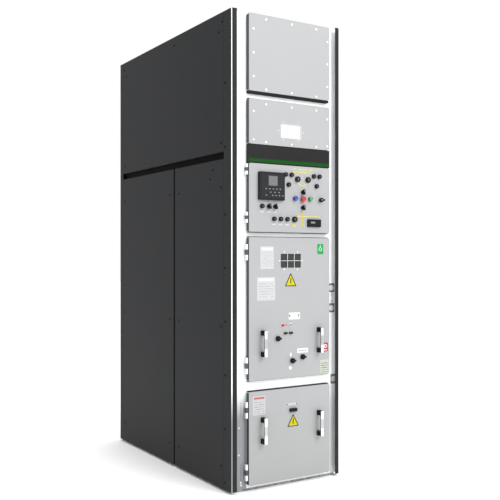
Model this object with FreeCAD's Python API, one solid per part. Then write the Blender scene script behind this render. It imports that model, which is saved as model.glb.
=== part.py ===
import FreeCAD, Part
import math
import os

# Metal-clad switchboard cabinet for medium voltage, in millimetres.
# X runs across the front from left to right, Y runs from the front to the back,
# Z runs up. The origin is on the floor, in the middle of the cabinet.
# Heights are written from the floor up, in the order in which the pieces stack.

# ---- overall box and sheet metal -------------------------------------------------
cabinet_width = 650.0
cabinet_depth = 1340.0
sheet = 2.0                   # covers, doors and partitions
post_sheet = 3.0              # corner posts
floor_gap = 12.0              # lowest edge of the covers above the floor
top_margin = 5.0              # cover edge above the highest front panel
post_lip = 30.0               # front-facing lip of a corner post
post_corner_radius = 16.0
front_post_depth = 72.0
rear_post_depth = 57.0
cover_seam = 1.5              # gap between a post and the cover beside it
cover_fold = 15.0             # folded edge of a side cover
cover_corner_radius = 1.5

# ---- front stack, from the floor up ----------------------------------------------
cable_door_bottom = 28.0
cable_door_height = 449.0
lower_bar_height = 51.0
breaker_door_height = 692.0
upper_bar_height = 25.0
relay_door_height = 330.0
fascia_gap = 3.0
fascia_height = 88.0
window_gap = 2.0
window_panel_height = 217.0
shadow_gap = 37.0
top_panel_height = 373.0

# ---- doors and front frame ---------------------------------------------------------
left_strip = 100.0            # from the cabinet's left face to the doors
right_strip = 65.0            # from the doors to the cabinet's right face
frame_setback = 30.0          # front frame behind the post lips
door_stand = 25.0             # door face in front of the front frame
seal_gap = 2.0                # between a door's folded edge and the frame
door_corner_radius = 9.0
frame_overlap = 20.0          # how far a door or panel covers the frame round its opening
frame_return = 20.0

# ---- side cover layout -------------------------------------------------------------
side_slot_height = 35.0       # dark slot between the upper and lower side covers
side_slot_above_relay = 19.0  # slot's lower edge above the relay door's top
groove_from_front = 596.0     # middle of the upright groove, from the front
groove_width = 17.0
upright_width = 84.0
rail_thickness = 4.0
rail_overlap = 10.0

# ---- hinges ---------------------------------------------------------------------------
hinge_axis_from_left = 92.0
hinge_axis_ahead = 15.0       # hinge axis in front of the front frame
pin_radius = 4.0
pin_clearance = 0.05
knuckle_radius = 7.5
knuckle_gap = 0.4
leaf_width = 26.0
leaf_thickness = 3.0
large_hinge_length = 77.0
small_hinge_length = 52.0

# ---- base, floor and roof ------------------------------------------------------------
base_height = 50.0
base_member_width = 60.0
base_wall = 4.0
anchor_hole_radius = 7.0
anchor_from_edge = 32.0
gland_plate_thickness = 3.0
cable_hole_radius = 50.0
roof_below_top = 10.0
roof_fold = 40.0
lifting_hole_radius = 8.5
lifting_hole_from_edge = 30.0
flap_overlap = 12.0
flap_gap = 0.4
flap_opening_width = 400.0
flap_rod_radius = 3.0
flap_lug_width = 8.0
flap_lug_wall = 3.0
flap_lug_setback = 4.0        # keeps the flap's plate clear of the lugs as it swings
flap_duct_margin = 45.0

# ---- breaker compartment ---------------------------------------------------------------
spout_wall_from_frame = 600.0
truck_floor_below_door = 23.0  # floor plate's underside below the breaker door's lower edge
rail_track_height = 6.0
rail_track_width = 30.0
rail_track_offset = 230.0
wheel_radius = 25.0
wheel_width = 22.0
wheel_rail_gap = 0.3
axle_radius = 8.0
truck_travel = 200.0
truck_front_clearance = 10.0
door_device_depth = 30.0      # what the door-mounted operators reach behind the door face
chassis_half_width = 214.0
chassis_length = 275.0
chassis_height = 46.0
chassis_plate = 4.0
housing_depth = 140.0
housing_half_width = 200.0
housing_height = 425.0
phase_spacing = 150.0
pole_radius = 50.0
pole_above_upper_arm = 67.0
pole_behind_housing = 10.0
pole_foot_height = 40.0
pole_head_below_top = 20.0
housing_plate_inset = 15.0
housing_plate_thickness = 6.0
housing_plate_radius = 10.0
wheel_from_chassis_end = 35.0
arm_radius = 24.0
tulip_radius = 30.0
tulip_length = 60.0
contact_radius = 17.0
contact_clearance = 1.0
tulip_depth = 48.0
arm_reach_past_shutter = 72.0
arm_pitch = 230.0             # between the upper and the lower arms

# ---- shutters and spouts ---------------------------------------------------------------
spout_outer_radius = 62.0
spout_inner_radius = 46.0
spout_length = 130.0
spout_end = 10.0
spout_lip = 4.0
shutter_thickness = 3.0
shutter_ahead_of_wall = 12.0
shutter_ratio = 0.9            # shutter travel for each unit of truck travel
shutter_start_gap = 70.0       # shutter edge clear of the arm when the truck is home
shutter_side_gap = 1.0
shutter_half_width = 268.0
shutter_overlap = 5.0          # shutter past the spout's mouth when it is closed
shutter_floor_gap = 13.0       # open lower shutter above the truck floor
guide_width = 16.0
guide_lip = 9.0
guide_front_gap = 3.0

# ---- busbars, transformers, cables and earthing -------------------------------------------
busbar_thickness = 10.0
busbar_height = 60.0
busbar_first_from_wall = 160.0
busbar_row_step = 150.0
busbar_first_height = 1300.0
busbar_rise = 100.0
barrier_thickness = 10.0
barrier_slot_clearance = 1.0
barrier_margin = 60.0
partition_height = 880.0
partition_from_wall = 560.0
transformer_width = 120.0
transformer_depth = 160.0
transformer_height = 230.0
transformer_above_contact = 38.0
cable_bar_width = 40.0
cable_bar_thickness = 10.0
cable_bar_end_height = 330.0
cable_lug_hole_radius = 6.5
shelf_thickness = 4.0
shelf_depth = 330.0
earthing_shaft_radius = 12.0
earthing_shaft_behind_bar = 155.0
earthing_shaft_below_shelf = 52.0
earthing_plate_thickness = 6.0
earthing_plate_offset = 236.0
earthing_blade_width = 24.0
earthing_blade_thickness = 8.0
earthing_contact_gap = 2.0
earthing_closed_angle = 80.0
earthing_lug = 14.0
earthing_lug_height = 30.0
earthing_hub_wall = 8.0
earthing_shaft_overhang = 12.0
earthing_plate_half = 35.0
shelf_slot_margin = 10.0
busbar_riser_above = 10.0
terminal_box_depth = 18.0
terminal_box_height = 40.0
terminal_box_above_bottom = 30.0
cable_lug_hole_from_end = 20.0
cable_lug_hole_step = 40.0

# ---- relay compartment and relay door ------------------------------------------------------
relay_box_depth = 298.0
relay_box_side_gap = 4.0
relay_from_door_left = 51.0
relay_from_door_bottom = 155.0
relay_width = 148.0
relay_height = 136.0
relay_stand = 14.0
relay_body_depth = 120.0
relay_body_inset = 8.0
mimic_from_door_right = 170.0
small_lamp_radius = 11.0
large_lamp_radius = 14.0
lamp_stand = 10.0
device_body_radius = 9.0
device_body_depth = 45.0
button_travel = 4.0
button_bore_clearance = 0.3
button_stem_radius = 6.0
switch_stem_clearance = 0.05
socket_ring_radius = 10.0
socket_ring_height = 4.0
switch_lever_length = 26.0
switch_lever_width = 9.0
switch_lever_height = 9.0
switch_disc_radius = 11.0
switch_disc_height = 8.0
socket_end_wall = 5.0
button_head_thickness = 5.0
spare_gap = 1.0               # left over at the end of a travel
relay_corner_radius = 4.0
grip_corner_radius = 3.0

# ---- breaker door and cable door -------------------------------------------------------------
relay_hinge_from_ends = (69.0, 30.0)      # lower and upper hinge, from the door's two ends
breaker_hinge_from_ends = (75.0, 73.0)
cable_hinge_from_ends = (64.0, 86.0)
handle_width = 17.0
handle_stand = 35.0
handle_length = 126.0
handle_end_height = 23.0
handle_grip_thickness = 5.0
handle_from_left_edge = 67.0
handle_from_right_edge = 80.0
breaker_handle_above_bottom = 115.0
cable_handle_above_bottom = 196.0
grille_pane_width = 35.0
grille_pane_height = 28.0
grille_bar = 6.0
grille_columns = 3
grille_rows = 2
grille_from_left = 186.0
grille_from_bottom = 545.0
pane_overlap = 6.0
knob_radius = 13.0
knob_height = 18.0
knob_grip_width = 8.0
knob_shaft_radius = 5.0
touch_gap = 0.4               # between a turning knob and what it turns on
door_button_radius = 7.0
door_button_stand = 8.0
latch_length = 40.0
latch_height = 16.0
latch_stand = 12.0
window_width = 120.0
window_height = 64.0
window_from_left = 186.0
window_from_bottom = 43.0
screw_head_radius = 5.0
screw_head_height = 2.5
side_screw_head_height = 1.2

# ---- screw places --------------------------------------------------------------------------------
panel_screw_from_left = 25.0
panel_screw_from_right = 15.0
panel_screw_from_top = 22.0
panel_screw_from_bottom = 12.0
panel_screw_columns_inset = (97.0, 85.0)
top_panel_side_screws_inset = (69.0, 75.0)
window_panel_side_screws_inset = (20.0, 60.0)
post_screw_from_edge = 12.0
lower_post_screw_inset = (36.0, 267.0)
upper_post_screw_inset = (21.0, 345.0)
cover_screw_edge = 15.0
cover_screw_inset = 27.0
cover_screw_from_top = 46.0
cover_screw_step = 44.0
rear_screw_count = 9
rear_screw_inset = 60.0

# ---- places worked out from the sizes above ----------------------------------------------------
left = -cabinet_width / 2
right = cabinet_width / 2
front = -cabinet_depth / 2
back = cabinet_depth / 2
frame_y = front + frame_setback
door_face = frame_y - door_stand
door_left = left + left_strip
door_right = right - right_strip
cable_door_top = cable_door_bottom + cable_door_height
breaker_door_bottom = cable_door_top + lower_bar_height
breaker_door_top = breaker_door_bottom + breaker_door_height
relay_door_bottom = breaker_door_top + upper_bar_height
relay_door_top = relay_door_bottom + relay_door_height
fascia_bottom = relay_door_top + fascia_gap
fascia_top = fascia_bottom + fascia_height
window_panel_bottom = fascia_top + window_gap
window_panel_top = window_panel_bottom + window_panel_height
top_panel_bottom = window_panel_top + shadow_gap
top_panel_top = top_panel_bottom + top_panel_height
cabinet_height = top_panel_top + top_margin
slot_bottom = relay_door_top + side_slot_above_relay
slot_top = slot_bottom + side_slot_height
groove_y = front + groove_from_front
fold_x = right - cover_fold
inner_x = fold_x - rail_thickness
roof_top = cabinet_height - roof_below_top
roof_under = roof_top - sheet
hinge_x = left + hinge_axis_from_left
hinge_y = frame_y - hinge_axis_ahead
spout_wall_y = frame_y + spout_wall_from_frame
rear_plate_y = back - post_sheet
truck_floor_top = breaker_door_bottom - truck_floor_below_door + sheet
track_top = truck_floor_top + rail_track_height
axle_z = track_top + wheel_rail_gap + wheel_radius
chassis_front = door_face + door_device_depth + truck_travel + truck_front_clearance
chassis_bottom = axle_z - chassis_height / 4
chassis_top = chassis_bottom + chassis_height
housing_back = chassis_front + housing_depth
pole_y = housing_back + pole_behind_housing + pole_radius
shutter_travel = truck_travel * shutter_ratio
shutter_reach = shutter_travel + spout_inner_radius + shutter_overlap
lower_arm_z = truck_floor_top + shutter_floor_gap + shutter_reach
upper_arm_z = lower_arm_z + arm_pitch
shutter_back = spout_wall_y - shutter_ahead_of_wall + shutter_thickness
shutter_front = shutter_back - shutter_thickness
arm_tip = shutter_back + arm_reach_past_shutter
contact_tip = arm_tip - tulip_depth + contact_clearance * 3
spout_back = spout_wall_y - spout_lip + spout_length
phases = [-phase_spacing, 0.0, phase_spacing]
transformer_front = spout_back
cable_bar_y = transformer_front + transformer_depth / 2
transformer_bottom = lower_arm_z + transformer_above_contact - transformer_height
shelf_top = transformer_bottom
shelf_under = shelf_top - shelf_thickness
earthing_y = cable_bar_y + cable_bar_thickness / 2 + earthing_shaft_behind_bar
earthing_z = shelf_under - earthing_shaft_below_shelf
partition_y = spout_wall_y + partition_from_wall
mimic_x = door_right - mimic_from_door_right


# ---- small shape makers ----------------------------------------------------------------------------
def block(x0, x1, y0, y1, z0, z1):
    """Box between two corners."""
    return Part.makeBox(x1 - x0, y1 - y0, z1 - z0, FreeCAD.Vector(x0, y0, z0))


def rod_x(radius, x0, x1, y, z):
    """Round bar along X."""
    return Part.makeCylinder(radius, x1 - x0, FreeCAD.Vector(x0, y, z), FreeCAD.Vector(1, 0, 0))


def rod_y(radius, x, y0, y1, z):
    """Round bar along Y."""
    return Part.makeCylinder(radius, y1 - y0, FreeCAD.Vector(x, y0, z), FreeCAD.Vector(0, 1, 0))


def rod_z(radius, x, y, z0, z1):
    """Round bar along Z."""
    return Part.makeCylinder(radius, z1 - z0, FreeCAD.Vector(x, y, z0), FreeCAD.Vector(0, 0, 1))


def join(shapes):
    """One solid from pieces that touch or overlap."""
    first = shapes[0]
    return first.fuse(shapes[1:]).removeSplitter()


def group(shapes):
    """Separate solids kept side by side in one node."""
    return Part.makeCompound(shapes)


def rounded_slab(side, low, high, bottom, top, face, thickness, radius):
    """Upright plate with rounded corners, its outer side on the plane `face`.

    `side` is the way its outer side looks. `low` and `high` bound it along X for the
    front and rear, and along Y for the left and right.
    """
    length = high - low
    slab = Part.makeBox(length, thickness, top - bottom)
    if radius > 0:
        across = [edge for edge in slab.Edges if abs(edge.tangentAt(edge.FirstParameter).y) > 0.9]
        slab = slab.makeFillet(radius, across)
    turns = {"front": 0, "rear": 180, "left": -90, "right": 90}
    corners = {"front": (low, face), "rear": (high, face), "left": (face, high), "right": (face, low)}
    slab.rotate(FreeCAD.Vector(0, 0, 0), FreeCAD.Vector(0, 0, 1), turns[side])
    corner_x, corner_y = corners[side]
    slab.translate(FreeCAD.Vector(corner_x, corner_y, bottom))
    return slab


def pan(side, low, high, bottom, top, face, fold, radius):
    """Folded sheet: a plate with all four edges turned in by `fold`."""
    inward = {"front": 1, "rear": -1, "left": 1, "right": -1}[side]
    outer = rounded_slab(side, low, high, bottom, top, face, fold, radius)
    hollow = rounded_slab(side, low + sheet, high - sheet, bottom + sheet, top - sheet,
                          face + inward * sheet, fold, max(radius - sheet, 0))
    return outer.cut(hollow)


def mirrored_x(shape):
    """The same piece for the other side of the cabinet."""
    return shape.mirror(FreeCAD.Vector(0, 0, 0), FreeCAD.Vector(1, 0, 0))


# ---- base and skeleton ---------------------------------------------------------------------------------
base_front = frame_y + sheet
base_back = rear_plate_y - cover_fold


def make_base_frame():
    """Ring of inward-facing channels with a cross member under the middle."""
    ring = block(-fold_x, fold_x, base_front, base_back, 0, base_height)
    ring = ring.cut(block(-fold_x + base_member_width, fold_x - base_member_width,
                          base_front + base_member_width, base_back - base_member_width,
                          -1, base_height + 1))
    ring = ring.cut(block(-fold_x + base_wall, fold_x - base_wall, base_front + base_wall,
                          base_back - base_wall, base_wall, base_height - base_wall))
    cross = block(-fold_x + base_wall, fold_x - base_wall, -base_member_width / 2,
                  base_member_width / 2, 0, base_height)
    frame = join([ring, cross])
    for x in (-fold_x + anchor_from_edge, fold_x - anchor_from_edge):
        for y in (base_front + anchor_from_edge, base_back - anchor_from_edge):
            frame = frame.cut(rod_z(anchor_hole_radius, x, y, -1, base_wall + 1))
    return frame


def make_gland_plate():
    """Floor plate with one cable hole under each phase."""
    plate = block(-inner_x, inner_x, base_front, base_back, base_height,
                  base_height + gland_plate_thickness)
    for x in phases:
        plate = plate.cut(rod_z(cable_hole_radius, x, cable_bar_y, base_height - 1,
                                base_height + gland_plate_thickness + 1))
    return plate


def corner_post(depth):
    """Left post, seen from above as a J: a side plate, a rounded corner and a front lip."""
    outer = post_corner_radius
    inner = post_corner_radius - post_sheet
    diagonal = math.sqrt(0.5)

    def point(x, y):
        return FreeCAD.Vector(left + x, front + y, floor_gap)

    edges = [
        Part.LineSegment(point(0, depth), point(0, outer)).toShape(),
        Part.Arc(point(0, outer), point(outer - outer * diagonal, outer - outer * diagonal),
                 point(outer, 0)).toShape(),
        Part.LineSegment(point(outer, 0), point(post_lip, 0)).toShape(),
        Part.LineSegment(point(post_lip, 0), point(post_lip, post_sheet)).toShape(),
        Part.LineSegment(point(post_lip, post_sheet), point(outer, post_sheet)).toShape(),
        Part.Arc(point(outer, post_sheet),
                 point(outer - inner * diagonal, outer - inner * diagonal),
                 point(post_sheet, outer)).toShape(),
        Part.LineSegment(point(post_sheet, outer), point(post_sheet, depth)).toShape(),
        Part.LineSegment(point(post_sheet, depth), point(0, depth)).toShape(),
    ]
    profile = Part.Face(Part.Wire(edges))
    return profile.extrude(FreeCAD.Vector(0, 0, cabinet_height - floor_gap))


def make_corner_posts():
    """Four posts: two at the front and two shorter ones turned round at the back."""
    front_left = corner_post(front_post_depth)
    rear_left = corner_post(rear_post_depth).mirror(FreeCAD.Vector(0, 0, 0),
                                                    FreeCAD.Vector(0, 1, 0))
    return group([front_left, mirrored_x(front_left), rear_left, mirrored_x(rear_left)])


cover_front = front + front_post_depth + cover_seam
cover_back = back - rear_post_depth - cover_seam


def side_cover(side, low, high, bottom, top):
    """One painted side cover, flush with the posts."""
    face = {"left": left, "right": right}[side]
    return pan(side, low, high, bottom, top, face, cover_fold, cover_corner_radius)


def make_side_rails():
    """On each side an upright behind the groove, crossed by a rail behind the slot."""
    upright = block(-fold_x, -inner_x, groove_y - upright_width / 2, groove_y + upright_width / 2,
                    base_height, roof_under - roof_fold + sheet)
    rail = block(-fold_x, -inner_x, cover_front, cover_back, slot_bottom - rail_overlap,
                 slot_top + rail_overlap)
    cross = join([upright, rail])
    return group([cross, mirrored_x(cross)])


front_openings = [(cable_door_bottom, cable_door_top), (breaker_door_bottom, breaker_door_top),
                  (relay_door_bottom, relay_door_top), (window_panel_bottom, window_panel_top),
                  (top_panel_bottom, top_panel_top)]


def make_front_frame():
    """Two uprights with side strips behind their outer edges, and rails welded between them."""
    reach = right - post_sheet
    top = cabinet_height - sheet
    open_left = door_left + frame_overlap
    open_right = door_right - frame_overlap
    frame_back = frame_y + sheet
    strip_back = frame_y + frame_return
    pieces = [
        block(-reach, open_left, frame_y, frame_back, floor_gap, top),
        block(open_right, reach, frame_y, frame_back, floor_gap, top),
        block(-reach, -reach + sheet, frame_back, strip_back, floor_gap, top),
        block(reach - sheet, reach, frame_back, strip_back, floor_gap, top),
    ]
    edges = [floor_gap]
    for opening_bottom, opening_top in front_openings:
        edges += [opening_bottom + frame_overlap, opening_top - frame_overlap]
    edges.append(top)
    for low, high in zip(edges[0::2], edges[1::2]):
        pieces.append(block(open_left, open_right, frame_y, frame_back, low, high))
    return group(pieces)


# ---- roof and relief flaps ---------------------------------------------------------------------------------
flap_ducts = [
    (frame_y + relay_box_depth + flap_duct_margin, spout_wall_y - flap_duct_margin),
    (spout_wall_y + flap_duct_margin, partition_y - flap_duct_margin),
    (partition_y + flap_duct_margin / 3, base_back - sheet - flap_duct_margin),
]
flap_half_width = flap_opening_width / 2 + flap_overlap
lug_x = flap_half_width - 2 * flap_lug_width
flap_axis_z = roof_top + flap_rod_radius + 1
flap_axis_ahead = flap_overlap + flap_rod_radius + 1


def make_roof_plate():
    """Roof of flush sheets on four edge strips, open over three compartments, with hinge lugs."""
    roof_front = base_front
    roof_back = base_back
    half_opening = flap_opening_width / 2
    edge_bottom = roof_under - roof_fold + sheet
    side_sheet = block(-fold_x, -half_opening, roof_front, roof_back, roof_under, roof_top)
    for y in (roof_front + lifting_hole_from_edge, roof_back - lifting_hole_from_edge):
        side_sheet = side_sheet.cut(rod_z(lifting_hole_radius, -fold_x + lifting_hole_from_edge, y,
                                          roof_under - 1, roof_top + 1))
    side_strip = block(-fold_x, -fold_x + sheet, roof_front + sheet, roof_back - sheet,
                       edge_bottom, roof_under)
    pieces = [side_sheet, mirrored_x(side_sheet), side_strip, mirrored_x(side_strip)]
    for y in (roof_front, roof_back - sheet):
        pieces.append(block(-fold_x, fold_x, y, y + sheet, edge_bottom, roof_under))
    edges = [roof_front]
    for low, high in flap_ducts:
        edges += [low, high]
    edges.append(roof_back)
    for low, high in zip(edges[0::2], edges[1::2]):
        pieces.append(block(-half_opening, half_opening, low, high, roof_under, roof_top))
    for low, high in flap_ducts:
        axis_y = high + flap_axis_ahead
        bore = rod_x(flap_rod_radius + pin_clearance, -flap_half_width, flap_half_width,
                     axis_y, flap_axis_z)
        for x in (-lug_x, lug_x):
            lug = block(x - flap_lug_width / 2, x + flap_lug_width / 2,
                        axis_y - flap_rod_radius - flap_lug_wall,
                        axis_y + flap_rod_radius + flap_lug_wall,
                        roof_top, flap_axis_z + flap_rod_radius + flap_lug_wall / 2)
            pieces.append(lug.cut(bore))
    return group(pieces)


def relief_flap(duct):
    """Plate over one relief opening, hinged on a rod along its rear edge."""
    low, high = duct
    axis_y = high + flap_axis_ahead
    under = roof_top + flap_gap
    plate_end = high + flap_overlap - flap_lug_setback
    plate = block(-flap_half_width, flap_half_width, low - flap_overlap, plate_end,
                  under, under + sheet)
    rod = rod_x(flap_rod_radius, -flap_half_width, flap_half_width, axis_y, flap_axis_z)
    inner = lug_x - flap_lug_width / 2 - 1
    tab = block(-inner, inner, plate_end - sheet, axis_y, under, under + sheet)
    return join([plate, tab, rod])


# ---- front panels, rear covers and fascia ----------------------------------------------------------------------
def front_pan(bottom, top, radius):
    """Folded front panel standing on the front frame."""
    return pan("front", door_left, door_right, bottom, top, door_face, door_stand, radius)


def make_window_panel():
    """Fixed panel with a small inspection window and its pane behind."""
    panel = front_pan(window_panel_bottom, window_panel_top, door_corner_radius)
    x0 = door_left + window_from_left
    z0 = window_panel_bottom + window_from_bottom
    panel = panel.cut(block(x0, x0 + window_width, door_face - 1, door_face + sheet + 1,
                            z0, z0 + window_height))
    pane = block(x0 - pane_overlap, x0 + window_width + pane_overlap, door_face + sheet,
                 door_face + 2 * sheet, z0 - pane_overlap, z0 + window_height + pane_overlap)
    return group([panel, pane])


def rear_cover(bottom, top):
    """Rear cover between the two rear posts, held behind their lips."""
    reach = right - post_corner_radius - cover_seam
    return pan("rear", -reach, reach, bottom, top, rear_plate_y, cover_fold, cover_corner_radius)


# ---- screws ----------------------------------------------------------------------------------------------------------
def evenly(low, high, count):
    """Evenly spaced places with the ends included."""
    return [low + (high - low) * i / (count - 1) for i in range(count)]


def front_screw_heads(bottom, top, side_rows, side_inset):
    """Heads round one fixed front panel: three along its top and bottom, a few up its sides."""
    low_inset, high_inset = panel_screw_columns_inset
    places = [(x, z) for x in evenly(door_left + low_inset, door_right - high_inset, 3)
              for z in (bottom + panel_screw_from_bottom, top - panel_screw_from_top)]
    places += [(x, z) for z in evenly(bottom + side_inset[0], top - side_inset[1], side_rows)
               for x in (door_left + panel_screw_from_left, door_right - panel_screw_from_right)]
    return [rod_y(screw_head_radius, x, door_face - screw_head_height, door_face, z)
            for x, z in places]


def side_screw_places():
    """Y and Z of the screw heads on one side: along the front post and on the covers."""
    post_y = front + front_post_depth - post_screw_from_edge
    low, high = lower_post_screw_inset
    places = [(post_y, z) for z in evenly(floor_gap + low, slot_bottom - high, 6)]
    low, high = upper_post_screw_inset
    places += [(post_y, z) for z in evenly(slot_top + low, cabinet_height - high, 2)]
    top = cabinet_height - cover_screw_from_top
    for edge_y, inward in ((cover_front, 1), (cover_back, -1)):
        places.append((edge_y + inward * cover_screw_edge, top))
        places.append((edge_y + inward * 3 * cover_screw_edge, top - cover_screw_step))
        places.append((edge_y + inward * cover_screw_inset, slot_top + cover_screw_step))
    places.append((groove_y, top))
    places.append((cover_front + 7 * cover_screw_edge, slot_bottom - cover_screw_step))
    places.append((cover_front + 9 * cover_screw_edge, slot_bottom - 2 * cover_screw_step))
    heights = evenly(floor_gap + 4 * cover_screw_inset, slot_bottom - 5 * cover_screw_inset, 3)
    for z in heights:
        places.append((cover_front + cover_screw_inset, z))
        places.append((groove_y - 2 * cover_screw_inset, z))
        places.append((groove_y + 2 * cover_screw_inset, z))
        places.append((cover_back - cover_screw_inset, z))
    return places


def make_panel_screws():
    """Round screw heads on the fixed panels, posts and covers."""
    heads = front_screw_heads(top_panel_bottom, top_panel_top, 3, top_panel_side_screws_inset)
    heads += front_screw_heads(window_panel_bottom, window_panel_top, 2,
                               window_panel_side_screws_inset)
    for y, z in side_screw_places():
        heads.append(rod_x(screw_head_radius, left - side_screw_head_height, left, y, z))
        heads.append(rod_x(screw_head_radius, right, right + side_screw_head_height, y, z))
    rear_x = right - post_lip + screw_head_radius + spare_gap
    for x in (-rear_x, rear_x):
        for z in evenly(floor_gap + rear_screw_inset, cabinet_height - rear_screw_inset,
                        rear_screw_count):
            heads.append(rod_y(screw_head_radius, x, back, back + screw_head_height, z))
    return group(heads)


# ---- hinges -----------------------------------------------------------------------------------------------------------
def hinge_pair(bottom, top, from_ends, length):
    """Middle height and length of a door's two hinges."""
    return [(bottom + from_ends[0], length), (top - from_ends[1], length)]


hinges = {
    "relay": hinge_pair(relay_door_bottom, relay_door_top, relay_hinge_from_ends,
                        small_hinge_length),
    "breaker": hinge_pair(breaker_door_bottom, breaker_door_top, breaker_hinge_from_ends,
                          large_hinge_length),
    "cable": hinge_pair(cable_door_bottom, cable_door_top, cable_hinge_from_ends,
                        large_hinge_length),
}


def hinge_leaf(middle, length):
    """Frame side of a hinge: a leaf, two outer knuckles and the pin through all three."""
    low = middle - length / 2
    high = middle + length / 2
    third = length / 3
    pieces = [
        block(hinge_x - leaf_width + 4, hinge_x + 4, frame_y - leaf_thickness, frame_y, low, high),
        rod_z(pin_radius, hinge_x, hinge_y, low, high),
    ]
    for z0, z1 in ((low, low + third), (high - third, high)):
        pieces.append(rod_z(knuckle_radius, hinge_x, hinge_y, z0, z1))
        pieces.append(block(hinge_x - 4, hinge_x + 4, hinge_y, frame_y, z0, z1))
    return join(pieces)


def make_hinge_leaves():
    """All six frame-side hinge leaves."""
    return group([hinge_leaf(middle, length) for pair in hinges.values() for middle, length in pair])


def hinged_door(bottom, top, pair):
    """Folded door with the middle knuckle of each of its hinges."""
    fold = door_stand - seal_gap
    door = pan("front", door_left, door_right, bottom, top, door_face, fold, door_corner_radius)
    for middle, length in pair:
        third = length / 3
        z0 = middle - third / 2 + knuckle_gap
        z1 = middle + third / 2 - knuckle_gap
        tab = block(hinge_x, door_left + sheet, hinge_y - 2, hinge_y + 2, z0, z1)
        door = door.fuse([rod_z(knuckle_radius, hinge_x, hinge_y, z0, z1), tab])
        door = door.cut(rod_z(pin_radius + pin_clearance, hinge_x, hinge_y, z0 - 1, z1 + 1))
    return door.removeSplitter()


# ---- relay door devices --------------------------------------------------------------------------------------------------
lower_row_z = relay_door_bottom + 65
middle_row_z = relay_door_bottom + 125
small_lamps = [(mimic_x + side * 69, relay_door_bottom + 285) for side in (-1, 1)]
small_lamps += [(mimic_x + side * 103.5, relay_door_bottom + 285) for side in (-1, 1)]
small_lamps += [(mimic_x + side * 86, relay_door_bottom + 236) for side in (-1, 1)]
small_lamps += [(door_left + 73, middle_row_z)]
small_lamps += [(door_left + step, lower_row_z) for step in (143, 182, 221)]
large_lamps = [(mimic_x + side * 32, relay_door_bottom + 265) for side in (-1, 1)]
large_lamps += [(mimic_x - 50, lower_row_z)]
button_row_z = relay_door_bottom + 169
buttons = {
    "blue_button": (mimic_x - 47, button_row_z, 12.0),
    "red_button": (mimic_x, button_row_z - 2, 14.5),
    "green_button": (mimic_x + 46, button_row_z, 11.0),
}
switches = {
    "left_selector": (door_left + 112, middle_row_z, 0.0),
    "right_selector": (door_left + 149, middle_row_z, 0.0),
    "breaker_control_switch": (mimic_x, relay_door_bottom + 202, 0.0),
    "truck_control_switch": (mimic_x, middle_row_z, 0.0),
    "local_remote_switch": (mimic_x + 113, button_row_z - 2, 90.0),
}


def lamp(x, z, radius):
    """Pilot lamp: a bezel on the door and a body through it."""
    bezel = rod_y(radius, x, door_face - lamp_stand, door_face, z)
    body = rod_y(device_body_radius, x, door_face - 1, door_face + device_body_depth, z)
    return join([bezel, body])


def socket(x, z, bore):
    """Body of a push button or switch: a low ring on the door and a bored barrel behind."""
    ring = rod_y(socket_ring_radius, x, door_face - socket_ring_height, door_face, z)
    barrel = rod_y(device_body_radius, x, door_face - 1, door_face + device_body_depth, z)
    hole = rod_y(bore, x, door_face - socket_ring_height - 1,
                 door_face + device_body_depth - socket_end_wall, z)
    return join([ring, barrel]).cut(hole)


def make_lamps_and_sockets():
    """All pilot lamps and the fixed bodies of the buttons and switches."""
    pieces = [lamp(x, z, small_lamp_radius) for x, z in small_lamps]
    pieces += [lamp(x, z, large_lamp_radius) for x, z in large_lamps]
    pieces += [socket(x, z, button_stem_radius + button_bore_clearance)
               for x, z, _ in buttons.values()]
    pieces += [socket(x, z, button_stem_radius + switch_stem_clearance)
               for x, z, _ in switches.values()]
    return group(pieces)


def push_button(x, z, radius):
    """Button head with its stem, standing clear of its ring by its travel."""
    head_back = door_face - socket_ring_height - button_travel - spare_gap
    head = rod_y(radius, x, head_back - button_head_thickness, head_back, z)
    bore_end = door_face + device_body_depth - socket_end_wall
    stem = rod_y(button_stem_radius, x, head_back - 1, bore_end - button_travel - spare_gap, z)
    return join([head, stem])


def rotary_switch(x, z, turn):
    """Switch knob: a disc with a grip bar across it, and its stem."""
    disc_back = door_face - socket_ring_height - touch_gap
    disc_front = disc_back - switch_disc_height
    disc = rod_y(switch_disc_radius, x, disc_front, disc_back, z)
    half = switch_lever_length / 2
    bar = block(x - switch_lever_width / 2, x + switch_lever_width / 2,
                disc_front - switch_lever_height, disc_front + 1, z - half, z + half)
    bar.rotate(FreeCAD.Vector(x, 0, z), FreeCAD.Vector(0, 1, 0), turn)
    bore_end = door_face + device_body_depth - socket_end_wall
    stem = rod_y(button_stem_radius, x, disc_back - 1, bore_end - spare_gap, z)
    return join([disc, bar, stem])


def make_relay_door():
    """Door of the relay compartment, cut out for the relay and every lamp and switch."""
    door = hinged_door(relay_door_bottom, relay_door_top, hinges["relay"])
    x0 = door_left + relay_from_door_left + relay_body_inset
    z0 = relay_door_bottom + relay_from_door_bottom + relay_body_inset
    door = door.cut(block(x0, x0 + relay_width - 2 * relay_body_inset, door_face - 1,
                          door_face + sheet + 1, z0, z0 + relay_height - 2 * relay_body_inset))
    holes = small_lamps + large_lamps
    holes += [(x, z) for x, z, _ in list(buttons.values()) + list(switches.values())]
    for x, z in holes:
        door = door.cut(rod_y(device_body_radius, x, door_face - 1, door_face + sheet + 1, z))
    return door


def make_protection_relay():
    """Relay: a front frame on the door and a case behind it."""
    x0 = door_left + relay_from_door_left
    z0 = relay_door_bottom + relay_from_door_bottom
    face = rounded_slab("front", x0, x0 + relay_width, z0, z0 + relay_height,
                        door_face - relay_stand, relay_stand, relay_corner_radius)
    inset = relay_body_inset
    case = block(x0 + inset, x0 + relay_width - inset, door_face - 1,
                 door_face + relay_body_depth, z0 + inset, z0 + relay_height - inset)
    return join([face, case])


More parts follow.
